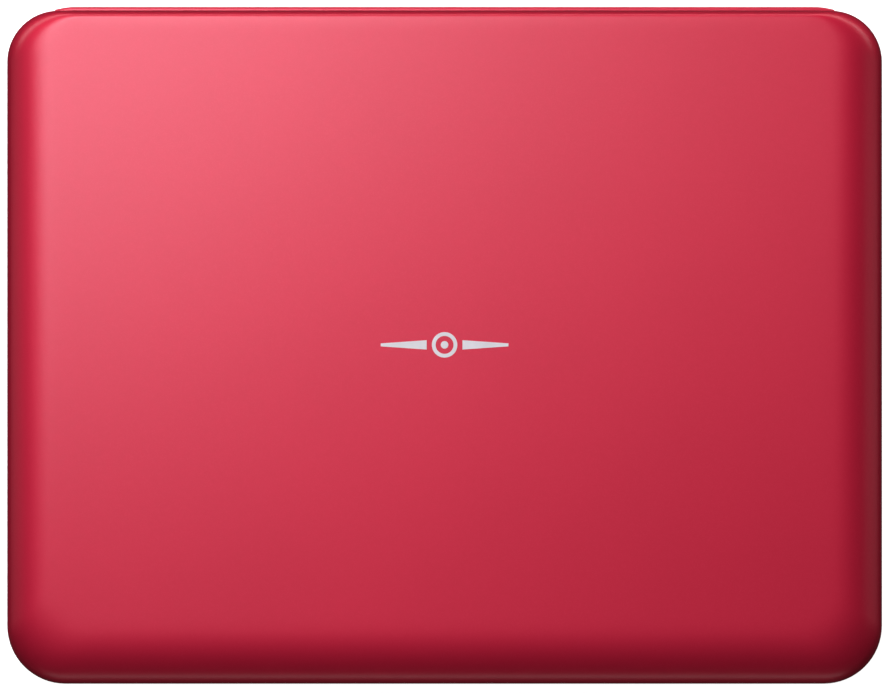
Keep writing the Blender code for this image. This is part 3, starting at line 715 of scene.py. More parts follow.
@dataclass
class Case:
    """The outline that both shells share, and the hinge across their back."""

    workshop: Workshop
    corner: float = 13.7
    lid_rear_corner: float = 12.1
    gap: float = 0.3
    trough_radius: float = 3.6
    steps: int = 16

    def __post_init__(self) -> None:
        """Reads the shells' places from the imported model."""
        low, high = self.workshop.extent("bottom_case")
        self.half_width, self.front = high[0], low[1]
        self.lid_low, self.lid_high = self.workshop.extent("lid_cover")
        self.base_low, self.base_high = low, high
        _, trough_high = self.workshop.extent("hinge_trough")
        self.hinge_y = trough_high[1] - self.trough_radius
        barrel = self.workshop.middle("hinge_pin_left")
        self.hinge_z = barrel[2]
        self.trough_half = trough_high[0]
        self.base_rear = self.hinge_y - 0.4
        self.lid_rear = trough_high[1] - 0.95

    def outline(self, front: float, side: float, rear: float, rear_edge: float, shrink: float) -> Outline:
        """Rounded outline of a shell, pulled in at the front, the sides and the rear.

        Args:
            front, side, rear: How far each is pulled in.
            rear_edge: Where the shell's rear wall stands.
            shrink: How much smaller the corner radius is.

        Returns:
            The corner points.
        """
        half = self.half_width - side
        back = self.lid_rear_corner if rear_edge == self.lid_rear else self.corner
        return rounded(
            -half, half, self.front + front, rear_edge - rear,
            self.corner - shrink, self.steps, back - shrink
        )

    def stack(self, profile: Outline, rear_edge: float) -> Shape:
        """Plate over the shell's outline from pairs of inset and height."""
        return loft([level(self.outline(d, d, d, rear_edge, d), z) for d, z in profile])

    def rolled(self, roll: Point, inset: float, rim: float, start: float, end: float, rear_edge: float,
               power: float, draft: float = 0.0, steps: int = 20) -> list[list[Point]]:
        """Rings of a wall that stands from rim to start, then rolls over to a flat at end.

        Args:
            roll: How far the edge rolls in at the front, the sides and the rear.
            inset: How far the whole wall is pulled in.
            rim, start, end: Heights of the wall's rim, the start of the roll and the flat.
            rear_edge: Where the rear wall stands.
            power: 2 rolls as an ellipse, and more is squarer.
            draft: How far the rear wall leans in between rim and start.
            steps: Segments in the roll.

        Returns:
            The rings, from the rim on.
        """
        rings = [level(self.outline(inset, inset, inset, rear_edge, inset), rim)]
        for i in range(steps + 1):
            angle = math.pi / 2 * i / steps
            across = 1 - math.cos(angle) ** (2 / power) if i < steps else 1.0
            rise = math.sin(angle) ** (2 / power)
            front, side, rear = (inset + amount * across for amount in roll)
            shrink = inset + 0.45 * roll[1] * across
            rings.append(level(self.outline(front, side, rear + draft, rear_edge, shrink),
                               start + (end - start) * rise))
        return rings

    def along_hinge(self, start: float, end: float, radius: float, steps: int = 72) -> Shape:
        """Round rod along the axis of the screen lid's hinge."""
        return rod(start, end, radius, (0.0, self.hinge_y, self.hinge_z), "X", steps)

    def clearance(self) -> Shape:
        """Round channel across the whole width that frees the hinge."""
        half = self.half_width + 1.0
        return self.along_hinge(-half, half, self.trough_radius + self.gap)


# ---------------------------------------------------------------- screen lid


@dataclass
class ScreenLid:
    """The screen half: red cover, bezel, window, speakers and the hinge's barrel."""

    workshop: Workshop
    case: Case
    wall: float = 2.0
    roll_start: float = 28.5
    draft: float = 0.15
    bezel_face: float = 23.2
    bezel_back: float = 25.2
    window_edge: float = 0.5
    visible_half: tuple[float, float] = (88.0, 49.5)
    emblem_bar: tuple[float, float] = (4.2, 15.0)
    web_half: float = 60.0
    body: str = "display"

    def build(self) -> None:
        """Builds every piece of the lid in order."""
        self.cover()
        self.emblem()
        self.bezel()
        self.screen()
        for side, hand in ((-1, "left"), (1, "right")):
            self.speaker(side, hand)
            self.bumper(hand)
        self.barrel()

    def cover(self) -> None:
        """Outer shell: upright walls that roll over to a flat back."""
        case, top, rim = self.case, self.case.lid_high[2], self.case.lid_low[2]
        outer_roll, inner_roll, power = (14.0, 12.0, 1.8), (13.0, 11.0, 1.4), 2.4
        outer = case.rolled(outer_roll, 0.0, rim, self.roll_start, top, case.lid_rear,
                            power, self.draft)
        inner = case.rolled(inner_roll, self.wall, rim, self.roll_start, top - self.wall,
                            case.lid_rear, 2.4, self.draft, steps=8)
        flat = [level(case.outline(16.0, 14.0, 5.0, case.lid_rear, 7.6), top)]
        shell = loft(flat + outer[::-1] + inner)
        self.workshop.add("screen_cover", shell, RED_LACQUER, self.body, ["lid_cover"],
                          cuts=[case.clearance()], sharp=40.0)

    def emblem(self) -> None:
        """Plain mark in the middle of the back: a ring and a dot between two tapering bars."""
        top = self.case.lid_high[2]
        low, high = top - 0.05, top + 0.03
        ring = lathe([(low, 2.1), (high, 2.1), (high, 3.0), (low, 3.0)], closed=True)
        dot = lathe([(low, 0.9), (high - 0.02, 0.9), (high, 0.85)])
        shape = ring + dot
        start, end = self.emblem_bar
        for side in (-1, 1):
            bar = [(side * start, -1.1), (side * end, -0.35), (side * end, 0.35), (side * start, 1.1)]
            shape = shape + prism(bar, low, high)
        mark = self.workshop.add("emblem", shape, WHITE_INK, self.body)
        mark.data.set_sharp_from_angle(angle=math.radians(20.0))

    def bezel(self) -> None:
        """Frame round the screen, with its rim, the window's bevelled opening and the speaker openings."""
        case = self.case
        parting = case.hinge_z + 0.25
        profile = eased([
            (2.4, self.bezel_back), (2.4, case.lid_low[2] - case.gap), (0.0, case.lid_low[2] - case.gap),
            (0.0, parting), (3.2, parting), (4.2, self.bezel_face), (6.0, self.bezel_face),
        ], 0.35)
        window = self.window_outline(-case.gap)
        opening = loft([
            level(window(-1.6), self.bezel_face - 1.0), level(window(-self.window_edge), self.bezel_face),
            level(window(0.0), self.bezel_face + 0.7), level(window(0.0), self.bezel_back + 1.0),
        ])
        notch = self.web_half + 0.4
        cuts = [case.clearance(), opening, prism(rounded(-notch, notch, 70.9, 82.0, 0.5), 21.0, 26.0)]
        for side in (-1, 1):
            cuts.append(prism(self.grille_outline(side)(-case.gap),
                              self.bezel_face - 1, self.bezel_back + 1))
        self.workshop.add("bezel", case.stack(profile, case.lid_rear), GLOSS_BLACK, self.body,
                          ["screen_bezel"], cuts=cuts)

    def window_outline(self, grow: float = 0.0) -> Inset:
        """Outline of the clear window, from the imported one, for an inset."""
        low, high = self.workshop.extent("screen_window")
        return lambda d: rounded(low[0] + grow + d, high[0] - grow - d, low[1] + grow + d,
                                 high[1] - grow - d, 3.0 - grow - d)

    def screen(self) -> None:
        """Clear window with a black printed border behind it, over the panel."""
        low, high = self.workshop.extent("screen_window")
        self.workshop.add("window", slab(self.window_outline(), low[2], high[2], 0.2), CLEAR_ACRYLIC,
                          self.body, ["screen_window"])
        half_x, half_y = self.visible_half
        middle = (low[1] + high[1]) / 2
        edge = self.window_outline(0.4)(0.0)
        view = rounded(-half_x, half_x, middle - half_y, middle + half_y, 0.6)
        behind = high[2] + 0.15
        border = loft([level(edge, behind), level(view, behind), level(view, behind + 0.2),
                       level(edge, behind + 0.2)], closed=True)
        self.workshop.add("window_border", border, BLACK_ABS, self.body)
        self.workshop.dress(POLARIZER, "lcd_panel")
        self.workshop.dress(ZINC_PLATE, "backlight_tray")
        self.workshop.dress(CIRCUIT_BOARD, "display_board")

    def grille_outline(self, side: int) -> Inset:
        """Oval outline of a speaker grille for an inset."""
        low, high = self.workshop.extent("speaker_grille_" + ("left" if side < 0 else "right"))
        round_end = (high[1] - low[1]) / 2 - 0.05
        return lambda d: rounded(low[0] + d, high[0] - d, low[1] + d, high[1] - d, round_end - d, 16)

    def speaker(self, side: int, hand: str) -> None:
        """Slotted oval grille with the cone behind it.

        Args:
            side: -1 on the left and 1 on the right.
            hand: The same in words.
        """
        node = "speaker_grille_" + hand
        low, high = self.workshop.extent(node)
        cx, cy, _ = self.workshop.middle(node)
        slots, pitch, half, width = 6, 2.4, 10.5, 0.6
        cuts = []
        for i in range(slots):
            y = cy + (i - (slots - 1) / 2) * pitch
            slot = rounded(cx - half, cx + half, y - width, y + width, width - 0.05, 6)
            cuts.append(prism(slot, low[2] - 1.0, high[2] + 1.0))
        self.workshop.add("grille_" + hand,
                          slab(self.grille_outline(side), low[2], high[2], 0.3), BLACK_ABS,
                          self.body, [node], cuts=cuts)
        cone = [(25.35, 7.6), (24.6, 7.6), (24.5, 7.1), (24.75, 6.3), (24.6, 5.6), (25.1, 2.4), (24.8, 1.4),
                (24.7, 0.2)]
        self.workshop.add("speaker_cone_" + hand, lathe(cone, (cx, cy, 0.0)), PAPER_CONE, self.body)
        self.workshop.dress(BLACK_ABS, "speaker_" + hand)

    def bumper(self, hand: str) -> None:
        """Domed rubber stop that the lid rests on."""
        node = "screen_bumper_" + hand
        low, high = self.workshop.extent(node)
        radius = (high[0] - low[0]) / 2
        dome = eased([(low[2], 0.2), (low[2], radius - 0.3), (high[2], radius)], 0.5, 5)
        self.workshop.add("bumper_" + hand, lathe(dome, self.workshop.middle(node), steps=40), RUBBER,
                          self.body, [node])

    def barrel(self) -> None:
        """Long hinge barrel with two seams near its ends, and its cranked leaf inside the lid."""
        case = self.case
        half, radius = 88.0, 2.4
        profile = [(-half, radius - 0.3), (-half + 0.3, radius)]
        for x in (-half + 13.0, half - 13.0):
            profile += [(x - 0.15, radius), (x - 0.15, radius - 0.2), (x + 0.15, radius - 0.2),
                        (x + 0.15, radius)]
        profile += [(half - 0.3, radius), (half, radius - 0.3)]
        turned = lathe(profile, (0.0, case.hinge_y, case.hinge_z), "X", 96)
        root = case.hinge_y - 1.4
        joins = [
            block(-self.web_half, self.web_half, 71.2, root, 22.35, 23.35, 0.12),
            block(-self.web_half, self.web_half, 71.2, 72.2, 22.8, 26.5, 0.12),
            block(-48.0, 48.0, 56.0, 72.0, self.bezel_back + case.gap, 26.2, 0.12),
        ]
        bores = [case.along_hinge(*sorted((side * (half - 12), side * (half + 1))), 1.45, 40)
                 for side in (-1, 1)]
        self.workshop.add("barrel", turned, RED_LACQUER, self.body, ["hinge_barrel"], joins, bores)


# ---------------------------------------------------------------- hinge on the base


@dataclass
class HingeTrough:
    """The round trough across the back of the base, whose sloped rim shows behind the shut lid."""

    workshop: Workshop
    case: Case
    bore: float = 2.7
    rim_degrees: float = 0.0
    rim_slope: float = 13.0
    front_degrees: float = -176.0
    taper: float = 0.82

    def section(self, x: float, scale: float) -> list[Point]:
        """Ring of the trough's wall at x: outside from the deck to the rear rim, and back along the bore.

        Args:
            x: Place across the player.
            scale: How large the section is drawn.

        Returns:
            The points.
        """
        case, outer = self.case, self.case.trough_radius
        turns, rim_turns = 40, 6
        span = self.rim_degrees - self.front_degrees
        places = [(outer, self.front_degrees + span * i / turns) for i in range(turns + 1)]
        for i in range(1, rim_turns + 1):
            angle = math.pi / 2 * i / rim_turns
            across = 0.92 * (1 - math.cos(angle))
            places.append((outer + (self.bore - outer) * across,
                           self.rim_degrees + self.rim_slope * math.sin(angle)))
        places += [(self.bore, self.rim_degrees + self.rim_slope - 1.0 - (span + self.rim_slope - 1.0) * i
                    / turns) for i in range(turns + 1)]
        ring = []
        for radius, degrees in places:
            angle = math.radians(degrees)
            ring.append((x, case.hinge_y + scale * radius * math.cos(angle),
                         case.hinge_z + scale * radius * math.sin(angle)))
        return ring

    def build(self) -> None:
        """Builds the trough with its closed ends and leaf, and the pins."""
        case, half = self.case, self.case.trough_half
        rings = []
        for i in range(7):
            reach = math.sin(math.pi / 2 * i / 6)
            rings.append(self.section(-half + 4.5 * i / 6, self.taper + (1 - self.taper) * reach))
        mirrored = [[(-x, y, z) for x, y, z in ring] for ring in rings[::-1]]
        web = half - 2.0
        front = case.hinge_y - case.trough_radius + 0.7
        joins = [
            block(-web, web, 71.2, front, 16.5, 21.65, 0.15),
            block(-89.0, 89.0, 67.3, 72.0, 16.5, 17.6, 0.15),
        ]
        bores = []
        for side, hand in ((-1, "left"), (1, "right")):
            joins.append(case.along_hinge(*sorted((side * 88.3, side * (half - 0.4))), self.bore + 0.1))
            bores.append(case.along_hinge(*sorted((side * 87.3, side * (half - 1.4))), 1.45, 40))
            low, high = self.workshop.extent("hinge_pin_" + hand)
            pin = [(low[0], 1.0), (low[0] + 0.2, 1.2), (high[0] - 0.2, 1.2), (high[0], 1.0)]
            self.workshop.add("pin_" + hand, lathe(pin, (0.0, case.hinge_y, case.hinge_z), "X", 40),
                              GROUND_STEEL, replaces=["hinge_pin_" + hand])
        self.workshop.add("trough", loft(rings + mirrored), RED_LACQUER, replaces=["hinge_trough"],
                          joins=joins, cuts=bores)


# ---------------------------------------------------------------- base shells


@dataclass
class BottomCase:
    """Red tub with what shows on its underside and its front."""

    workshop: Workshop
    case: Case
    wall: float = 2.0
    screw_recess: float = 3.1
    vent_rows: int = 7
    vent_pitch: float = 4.2

    def build(self) -> None:
        """Builds the shell and the pieces fixed to it."""
        self.shell()
        self.battery()
        for place in ("front_left", "front_right", "rear_left", "rear_right"):
            self.foot(place)
            self.screw(place)
        self.front_window()

    def shell(self) -> None:
        """The tub: rolled edges, openings in its right wall, screw towers and a field of vents."""
        case = self.case
        rim, floor = case.base_high[2], case.base_low[2]
        outer = case.rolled((14.5, 14.0, 9.0), 0.0, rim, rim - 0.5, floor, case.base_rear, 2.4)
        inner = case.rolled((13.5, 13.0, 8.5), self.wall, rim, rim - 0.5, floor + self.wall, case.base_rear,
                            2.4, steps=8)
        flat = [level(case.outline(16.5, 16.0, 11.0, case.base_rear, 8.3), floor)]
        screws = [self.workshop.middle("case_screw_" + place)
                  for place in ("front_left", "front_right", "rear_left", "rear_right")]
        towers = [rod(floor + 1.0, floor + 4.0, 5.0, centre) for centre in screws]
        cuts = [case.clearance(), self.battery_opening(0.0, -1.0, 6.0)]
        for centre in screws:
            cuts.append(rod(-1.0, 4.0, self.screw_recess, centre))
            cuts.append(lathe([(floor - 0.5, self.screw_recess + 0.9), (floor + 0.4, self.screw_recess)],
                              centre))
        wheel_low, wheel_high = self.workshop.extent("volume_wheel")
        wheel_y = (wheel_low[1] + wheel_high[1]) / 2
        cuts.append(block(97.0, 105.0, wheel_y - 7.5, wheel_y + 7.5,
                          wheel_low[2] - 0.3, wheel_high[2] + 0.3,
                          0.3))
        switch_y = self.workshop.middle("power_switch")[1]
        cuts.append(block(97.0, 105.0, switch_y - 4.8, switch_y + 8.8, 10.0, 14.0, 0.3))
        window_low, window_high = self.workshop.extent("remote_window")
        cuts.append(block(window_low[0] - 0.3, window_high[0] + 0.3, -82.0, -74.0, window_low[2] - 0.3,
                          window_high[2] + 0.3, 0.5))
        for name, radius in (("headphone_jack_front", 3.1), ("headphone_jack_rear", 3.1), ("av_jack", 3.1),
                             ("dc_jack", 3.4)):
            cuts.append(rod(97.0, 105.0, radius, self.workshop.middle(name), "X"))
        for row in range(self.vent_rows):
            y = 8.0 + (row - (self.vent_rows - 1) / 2) * self.vent_pitch
            for x in (-46.0, -10.0):
                slot = rounded(x - 13.0, x + 13.0, y - 0.8, y + 0.8, 0.75, 6)
                cuts.append(prism(slot, floor - 1.0, floor + self.wall + 1.0))
        self.workshop.add("base_shell", loft(flat + outer[::-1] + inner), RED_LACQUER,
                          replaces=["bottom_case"], joins=towers, cuts=cuts, sharp=40.0)

    def battery_opening(self, shrink: float, low: float, high: float) -> Shape:
        """Plate over the battery's opening, pulled in by shrink."""
        outline = rounded(40.0 + shrink, 86.0 - shrink, -48.0 + shrink, 48.0 - shrink, 3.0 - shrink)
        return prism(outline, low, high)

    def battery(self) -> None:
        """Cover with a ribbed thumb grip and a pointer, over the wrapped pack."""
        low, high = self.workshop.extent("battery_cover")
        plate = slab(lambda d: rounded(low[0] + d, high[0] - d, low[1] + d, high[1] - d, 2.7 - d), low[2],
                     high[2], 0.25)
        cx = (low[0] + high[0]) / 2
        cuts = [block(cx - 11.0, cx + 11.0, high[1] - 16.5, high[1] - 5.5, low[2] - 1.0, low[2] + 0.6, 0.3,
                      3.0)]
        pointer = [(cx - 3.0, high[1] - 20.0), (cx + 3.0, high[1] - 20.0), (cx, high[1] - 24.5)]
        cuts.append(prism(pointer, low[2] - 1.0, low[2] + 0.35))
        ribs = [
            block(cx - 9.0, cx + 9.0, high[1] - y - 0.5, high[1] - y + 0.5, low[2] + 0.1, low[2] + 0.9, 0.2)
            for y in (7.6, 9.8, 12.0, 14.2)
        ]
        cover = self.workshop.add("battery_door", plate, BLACK_ABS, replaces=["battery_cover"], cuts=cuts)
        carve(cover, ribs, [])
        cover.data.shade_smooth()
        cover.data.set_sharp_from_angle(angle=math.radians(32.0))
        low, high = self.workshop.extent("battery_pack")
        self.workshop.add("battery", block(low[0], high[0], low[1], high[1], low[2], high[2], 1.2, 2.4),
                          SHRINK_SLEEVE, replaces=["battery_pack"])

    def foot(self, place: str) -> None:
        """Round rubber foot with a moulded ring on its face."""
        node = "foot_" + place
        low, high = self.workshop.extent(node)
        radius = (high[0] - low[0]) / 2
        face = low[2]
        profile = eased([
            (face + 0.25, 0.2), (face + 0.25, 2.6), (face, 2.9), (face, radius - 0.4), (high[2], radius),
        ], 0.25)
        self.workshop.add("rubber_" + node, lathe(profile, self.workshop.middle(node)), RUBBER,
                          replaces=[node])

    def screw(self, place: str) -> None:
        """Countersunk case screw with a cross recess."""
        node = "case_screw_" + place
        low, high = self.workshop.extent(node)
        cx, cy, _ = self.workshop.middle(node)
        head = eased([(low[2], 0.2), (low[2], 2.5), (low[2] + 0.5, 2.8), (low[2] + 1.4, 2.8),
                      (low[2] + 1.4, 1.2), (high[2], 1.2)], 0.2)
        cross = [
            loft([level(rounded(cx - a, cx + a, cy - b, cy + b, 0.1, 2), low[2] - 0.5),
                  level(rounded(cx - a * 0.6, cx + a * 0.6, cy - b * 0.6, cy + b * 0.6, 0.1, 2),
                        low[2] + 1.0)])
            for a, b in ((1.8, 0.42), (0.42, 1.8))
        ]
        self.workshop.add("screw_" + place, lathe(head, (cx, cy, 0.0)), BLACK_SCREW, replaces=[node],
                          cuts=cross)

    def front_window(self) -> None:
        """Dark window of the remote receiver, a plate with rounded edges."""
        low, high = self.workshop.extent("remote_window")
        pane = block(low[0], high[0], low[1], high[1], low[2], high[2], 0.4)
        self.workshop.add("receiver_window", pane, GLOSS_BLACK, replaces=["remote_window"])


@dataclass
class Deck:
    """The black deck under the screen, with the disc well's opening and the keys' openings."""

    workshop: Workshop
    case: Case
    keypad: "Keypad"
    top: float = 21.2
    parting: float = 21.75
    well_radius: float = 61.5

    def build(self) -> None:
        """Builds the deck plate and the lamp."""
        case, shop = self.case, self.workshop
        rim = case.base_high[2] + case.gap
        profile = eased([
            (2.4, 18.2), (2.4, rim), (0.0, rim), (0.0, self.parting), (3.2, self.parting), (4.2, self.top),
            (6.0, self.top),
        ], 0.35)
        spindle = shop.middle("turntable")
        low, high = shop.extent("disc_lid")
        left, right, hinge_y = low[0] + 3.0, high[0] - 3.0, 63.0
        hinge = (0.0, hinge_y, 19.5)
        bosses = [block(left - 4.5, right + 4.5, 60.5, 66.5, 16.5, 19.0, 0.2)]
        pocket = rounded(left - 0.3, right + 0.3, low[1] - 0.3, hinge_y + 2.2, 2.2)
        lead_in = loft([level(rounded(left - 0.3, right + 0.3, low[1] - 0.3, hinge_y + 2.2, 2.2),
                              self.top - 0.35),
                        level(rounded(left - 0.9, right + 0.9, low[1] - 0.9, hinge_y + 2.8, 2.8),
                              self.top + 0.25)])
        slider = shop.middle("open_slider")
        cuts = [
            case.clearance(),
            block(-92.3, 92.3, 70.9, 82.0, 17.0, 23.0, 0.3),
            prism(pocket, 19.5, 23.0),
            lead_in,
            lathe([(16.0, self.well_radius), (19.1, self.well_radius), (19.6, self.well_radius + 0.5),
                   (22.0, self.well_radius + 0.5)], spindle, steps=144),
            rod(left - 0.3, right + 0.3, 1.9, hinge, "X"),
            rod(left - 3.3, right + 3.3, 1.1, hinge, "X", 32),
            block(slider[0] - 6.3, slider[0] + 3.3, slider[1] - 2.3, slider[1] + 2.3, 17.0, 23.0, 0.3),
            prism(self.lamp_outline(-0.3), 17.0, 23.0),
        ]
        cuts += [prism(outline(-0.3), 17.0, 23.0) for outline in self.keypad.outlines().values()]
        shop.add("deck", case.stack(profile, case.base_rear), BLACK_ABS,
                 replaces=["top_case"], joins=bosses,
                 cuts=cuts)
        low, high = shop.extent("status_lamp")
        shop.add("light_pipe", slab(self.lamp_outline, low[2], high[2], 0.15), LIGHT_PIPE,
                 replaces=["status_lamp"])

    def lamp_outline(self, inset: float) -> Outline:
        """Outline of the status lamp for an inset."""
        low, high = self.workshop.extent("status_lamp")
        return rounded(low[0] + inset, high[0] - inset, low[1] + inset, high[1] - inset, 0.9 - inset)


# ---------------------------------------------------------------- keys and side controls


class Mark(Enum):
    """What is printed on a key."""

    UP = "up"
    DOWN = "down"
    LEFT = "left"
    RIGHT = "right"
    ENTER = "enter"
    STOP = "stop"
    PLAY = "play"
    PREVIOUS = "previous"
    NEXT = "next"


@dataclass
class Keypad:
    """Nine silver keys with their printed marks, and the ribbed slide that opens the disc lid."""

    workshop: Workshop
    pad: tuple[float, float] = (68.0, 20.0)
    ring: tuple[float, float] = (8.4, 17.0)
    half_angle: float = 36.5
    cap_edge: float = 0.55
    ink: float = 0.02

    def outlines(self) -> dict[Mark, Inset]:
        """Gives each key's outline in plan as a function of its inset."""
        cx, cy = self.pad
        made: dict[Mark, Inset] = {Mark.ENTER: lambda d: circle(cx, cy, 6.0 - d)}
        for mark, angle in ((Mark.RIGHT, 0), (Mark.UP, 90), (Mark.LEFT, 180), (Mark.DOWN, 270)):
            made[mark] = lambda d, turn=angle: sector(cx, cy, *self.ring, turn, self.half_angle, d)
        for mark in (Mark.STOP, Mark.PLAY, Mark.PREVIOUS, Mark.NEXT):
            x, y, _ = self.workshop.middle("key_" + mark.value)
            made[mark] = lambda d, x=x, y=y: rounded(
                x - 8 + d, x + 8 - d, y - 4.5 + d, y + 4.5 - d, 2.5 - d)
        return made

    def build(self) -> None:
        """Builds each key and the slide."""
        for mark, outline in self.outlines().items():
            self.key(mark, outline)
        self.slide()

    def key(self, mark: Mark, outline: Inset) -> None:
        """Cap with a softly dished edge, on its flange and foot.

        Args:
            mark: Which key it is.
            outline: Its outline in plan.
        """
        node = "key_" + mark.value
        low, high = self.workshop.extent(node)
        top, edge = high[2], self.cap_edge
        profile = [(2.4, low[2]), (2.4, 17.2), (-0.9, 17.2), (-0.9, 17.9), (0.0, 17.9)]
        for i in range(7):
            turn = math.pi / 2 * i / 6
            profile.append((edge * (1 - math.cos(turn)), top - edge * (1 - math.sin(turn))))
        profile.append((edge + 0.5, top + 0.01))
        self.workshop.add("cap_" + mark.value,
                          loft([level(outline(d), z) for d, z in profile]), SILVER_PAINT,
                          node, [node])
        ink = Shape()
        for polygon in self.print_of(mark):
            ink = ink + prism(polygon, top, top + 0.01 + self.ink)
        self.workshop.add("print_" + mark.value, ink, BLACK_INK, node)

    def triangle(self, x: float, y: float, size: float, turn: float) -> Outline:
        """Triangle about a point, pointing along turn, in degrees."""
        corners = ((size, 0.0), (-0.5 * size, 0.85 * size), (-0.5 * size, -0.85 * size))
        c, s = math.cos(math.radians(turn)), math.sin(math.radians(turn))
        return [(x + a * c - b * s, y + a * s + b * c) for a, b in corners]

    def bar(self, x: float, y: float, width: float, height: float) -> Outline:
        """Rectangle about a point."""
        return [(x - width / 2, y - height / 2), (x + width / 2, y - height / 2),
                (x + width / 2, y + height / 2), (x - width / 2, y + height / 2)]

    def print_of(self, mark: Mark) -> list[Outline]:
        """Gives the outlines printed on a key.

        Args:
            mark: Which key it is.

        Returns:
            The outlines.
        """
        cx, cy = self.pad
        away = sum(self.ring) / 2
        turns = {Mark.RIGHT: 0, Mark.UP: 90, Mark.LEFT: 180, Mark.DOWN: 270}
        if mark in turns:
            turn = math.radians(turns[mark])
            return [self.triangle(cx + away * math.cos(turn), cy + away * math.sin(turn), 1.7, turns[mark])]
        x, y, _ = self.workshop.middle("key_" + mark.value)
        marks = {
            Mark.ENTER: [circle(x, y, 1.3)],
            Mark.STOP: [self.bar(x, y, 2.6, 2.6)],
            Mark.PLAY: [self.triangle(x - 1.6, y, 1.7, 0), self.bar(x + 1.5, y, 0.7, 2.8),
                        self.bar(x + 2.8, y, 0.7, 2.8)],
            Mark.PREVIOUS: [self.triangle(x - 0.7, y, 1.4, 180), self.triangle(x + 1.5, y, 1.4, 180),
                            self.bar(x - 2.6, y, 0.6, 2.4)],
            Mark.NEXT: [self.triangle(x + 0.7, y, 1.4, 0), self.triangle(x - 1.5, y, 1.4, 0),
                        self.bar(x + 2.6, y, 0.6, 2.4)],
        }
        return marks[mark]

    def slide(self) -> None:
        """Thumb slide with ribs across it, its stem and the flange under the deck."""
        low, high = self.workshop.extent("open_slider")
        cx, cy, _ = self.workshop.middle("open_slider")
        pad_low = high[2] - 0.6
        pad = slab(lambda d: rounded(cx - 7 + d, cx + 7 - d, cy - 4.2 + d, cy + 4.2 - d, 2.0 - d), pad_low,
                   high[2] - 0.15, 0.2)
        joins = [block(cx - 3, cx + 3, cy - 2, cy + 2, 17.0, pad_low + 0.3, 0.2),
                 block(cx - 7, cx + 7, cy - 5, cy + 5, low[2], 17.9, 0.2)]
        joins += [block(cx + x - 0.45, cx + x + 0.45, cy - 3.2, cy + 3.2, pad_low + 0.2, high[2] + 0.1, 0.2)
                  for x in (-1.0, 0.8, 2.6, 4.4)]
        cuts = [prism(self.triangle(cx - 4.2, cy, 1.5, 180), high[2] - 0.3, high[2] + 0.5)]
        self.workshop.add("open_slide_cap", pad, SILVER_PAINT, "open_slider", ["open_slider"], joins, cuts)


@dataclass
class SideControls:
    """Volume wheel, power switch and sockets in the right wall."""

    workshop: Workshop
    ribs: int = 60
    rib_depth: float = 0.22

    def build(self) -> None:
        """Builds the controls and sockets."""
        self.wheel()
        self.switch()
        for name, face, bore in (("headphone_jack_front", 2.8, 1.75), ("headphone_jack_rear", 2.8, 1.75),
                                 ("av_jack", 2.8, 1.75), ("dc_jack", 3.1, 2.5)):
            self.socket(name, face, bore)

    def wheel_outline(self, inset: float) -> Outline:
        """Round outline with ribs for the thumb, for an inset."""
        cx, cy, _ = self.workshop.middle("volume_wheel")
        low, high = self.workshop.extent("volume_wheel")
        radius = (high[0] - low[0]) / 2 - inset
        outline = []
        steps = self.ribs * 6
        for i in range(steps):
            angle = 2 * math.pi * i / steps
            reach = radius - self.rib_depth * (0.5 - 0.5 * math.cos(self.ribs * angle))
            outline.append((cx + reach * math.cos(angle), cy + reach * math.sin(angle)))
        return outline

    def wheel(self) -> None:
        """Ribbed thumbwheel on its potentiometer."""
        low, high = self.workshop.extent("volume_wheel")
        centre = self.workshop.middle("volume_wheel")
        self.workshop.add("thumbwheel", slab(self.wheel_outline, low[2], high[2], 0.3), SILVER_PAINT,
                          "volume_wheel", ["volume_wheel"],
                          cuts=[rod(low[2] - 1, high[2] + 1, 1.8, centre),
                                lathe([(high[2] - 0.3, 6.5), (high[2] + 0.5, 6.9)], centre)])
        self.workshop.dress(BLACK_ABS, "volume_pot")

    def switch(self) -> None:
        """Slide switch with ribs across its knob."""
        low, high = self.workshop.extent("power_switch")
        cy = self.workshop.middle("power_switch")[1]
        knob = block(97.5, high[0] - 0.25, cy - 4.5, cy + 4.5, 10.3, 13.7, 0.35, 0.5)
        joins = [block(low[0], 98.3, cy - 6.5, cy + 6.5, low[2], high[2], 0.2)]
        joins += [block(high[0] - 1.0, high[0], cy + y - 0.4, cy + y + 0.4, 10.7, 13.3, 0.2)
                  for y in (-2.7, -0.9, 0.9, 2.7)]
        self.workshop.add("power_knob", knob, SILVER_PAINT, "power_switch", ["power_switch"], joins)

    def socket(self, name: str, face: float, bore: float) -> None:
        """Socket with its body, a raised round face and a plated rim, and the inlet's pin.

        Args:
            name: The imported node.
            face: Radius of the round face in the wall's hole.
            bore: Radius of the bore.
        """
        low, high = self.workshop.extent(name)
        centre = self.workshop.middle(name)
        body = block(low[0], 99.3, low[1], high[1], low[2], high[2], 0.3)
        snout = lathe(eased([(98.0, face), (high[0], face), (high[0], bore)], 0.25), centre, "X")
        self.workshop.add("socket_" + name, body, BLACK_ABS, replaces=[name], joins=[snout],
                          cuts=[rod(92.0, 104.0, bore, centre, "X", 48)])
        rim = eased([(high[0] - 0.9, bore + 0.02), (high[0] + 0.1, bore + 0.02),
                     (high[0] + 0.1, bore + 0.45),
                     (high[0] - 0.05, bore + 0.5)], 0.1)
        ring = rim + [(high[0] - 0.9, bore + 0.06)]
        self.workshop.add("rim_" + name, lathe(ring, centre, "X", closed=True), NICKEL)
        if name == "dc_jack":
            pin = eased([(91.5, 0.8), (100.6, 0.8), (101.0, 0.1)], 0.4, 5)
            self.workshop.add("inlet_pin", lathe(pin, centre, "X", 32), NICKEL)


# ---------------------------------------------------------------- disc drive


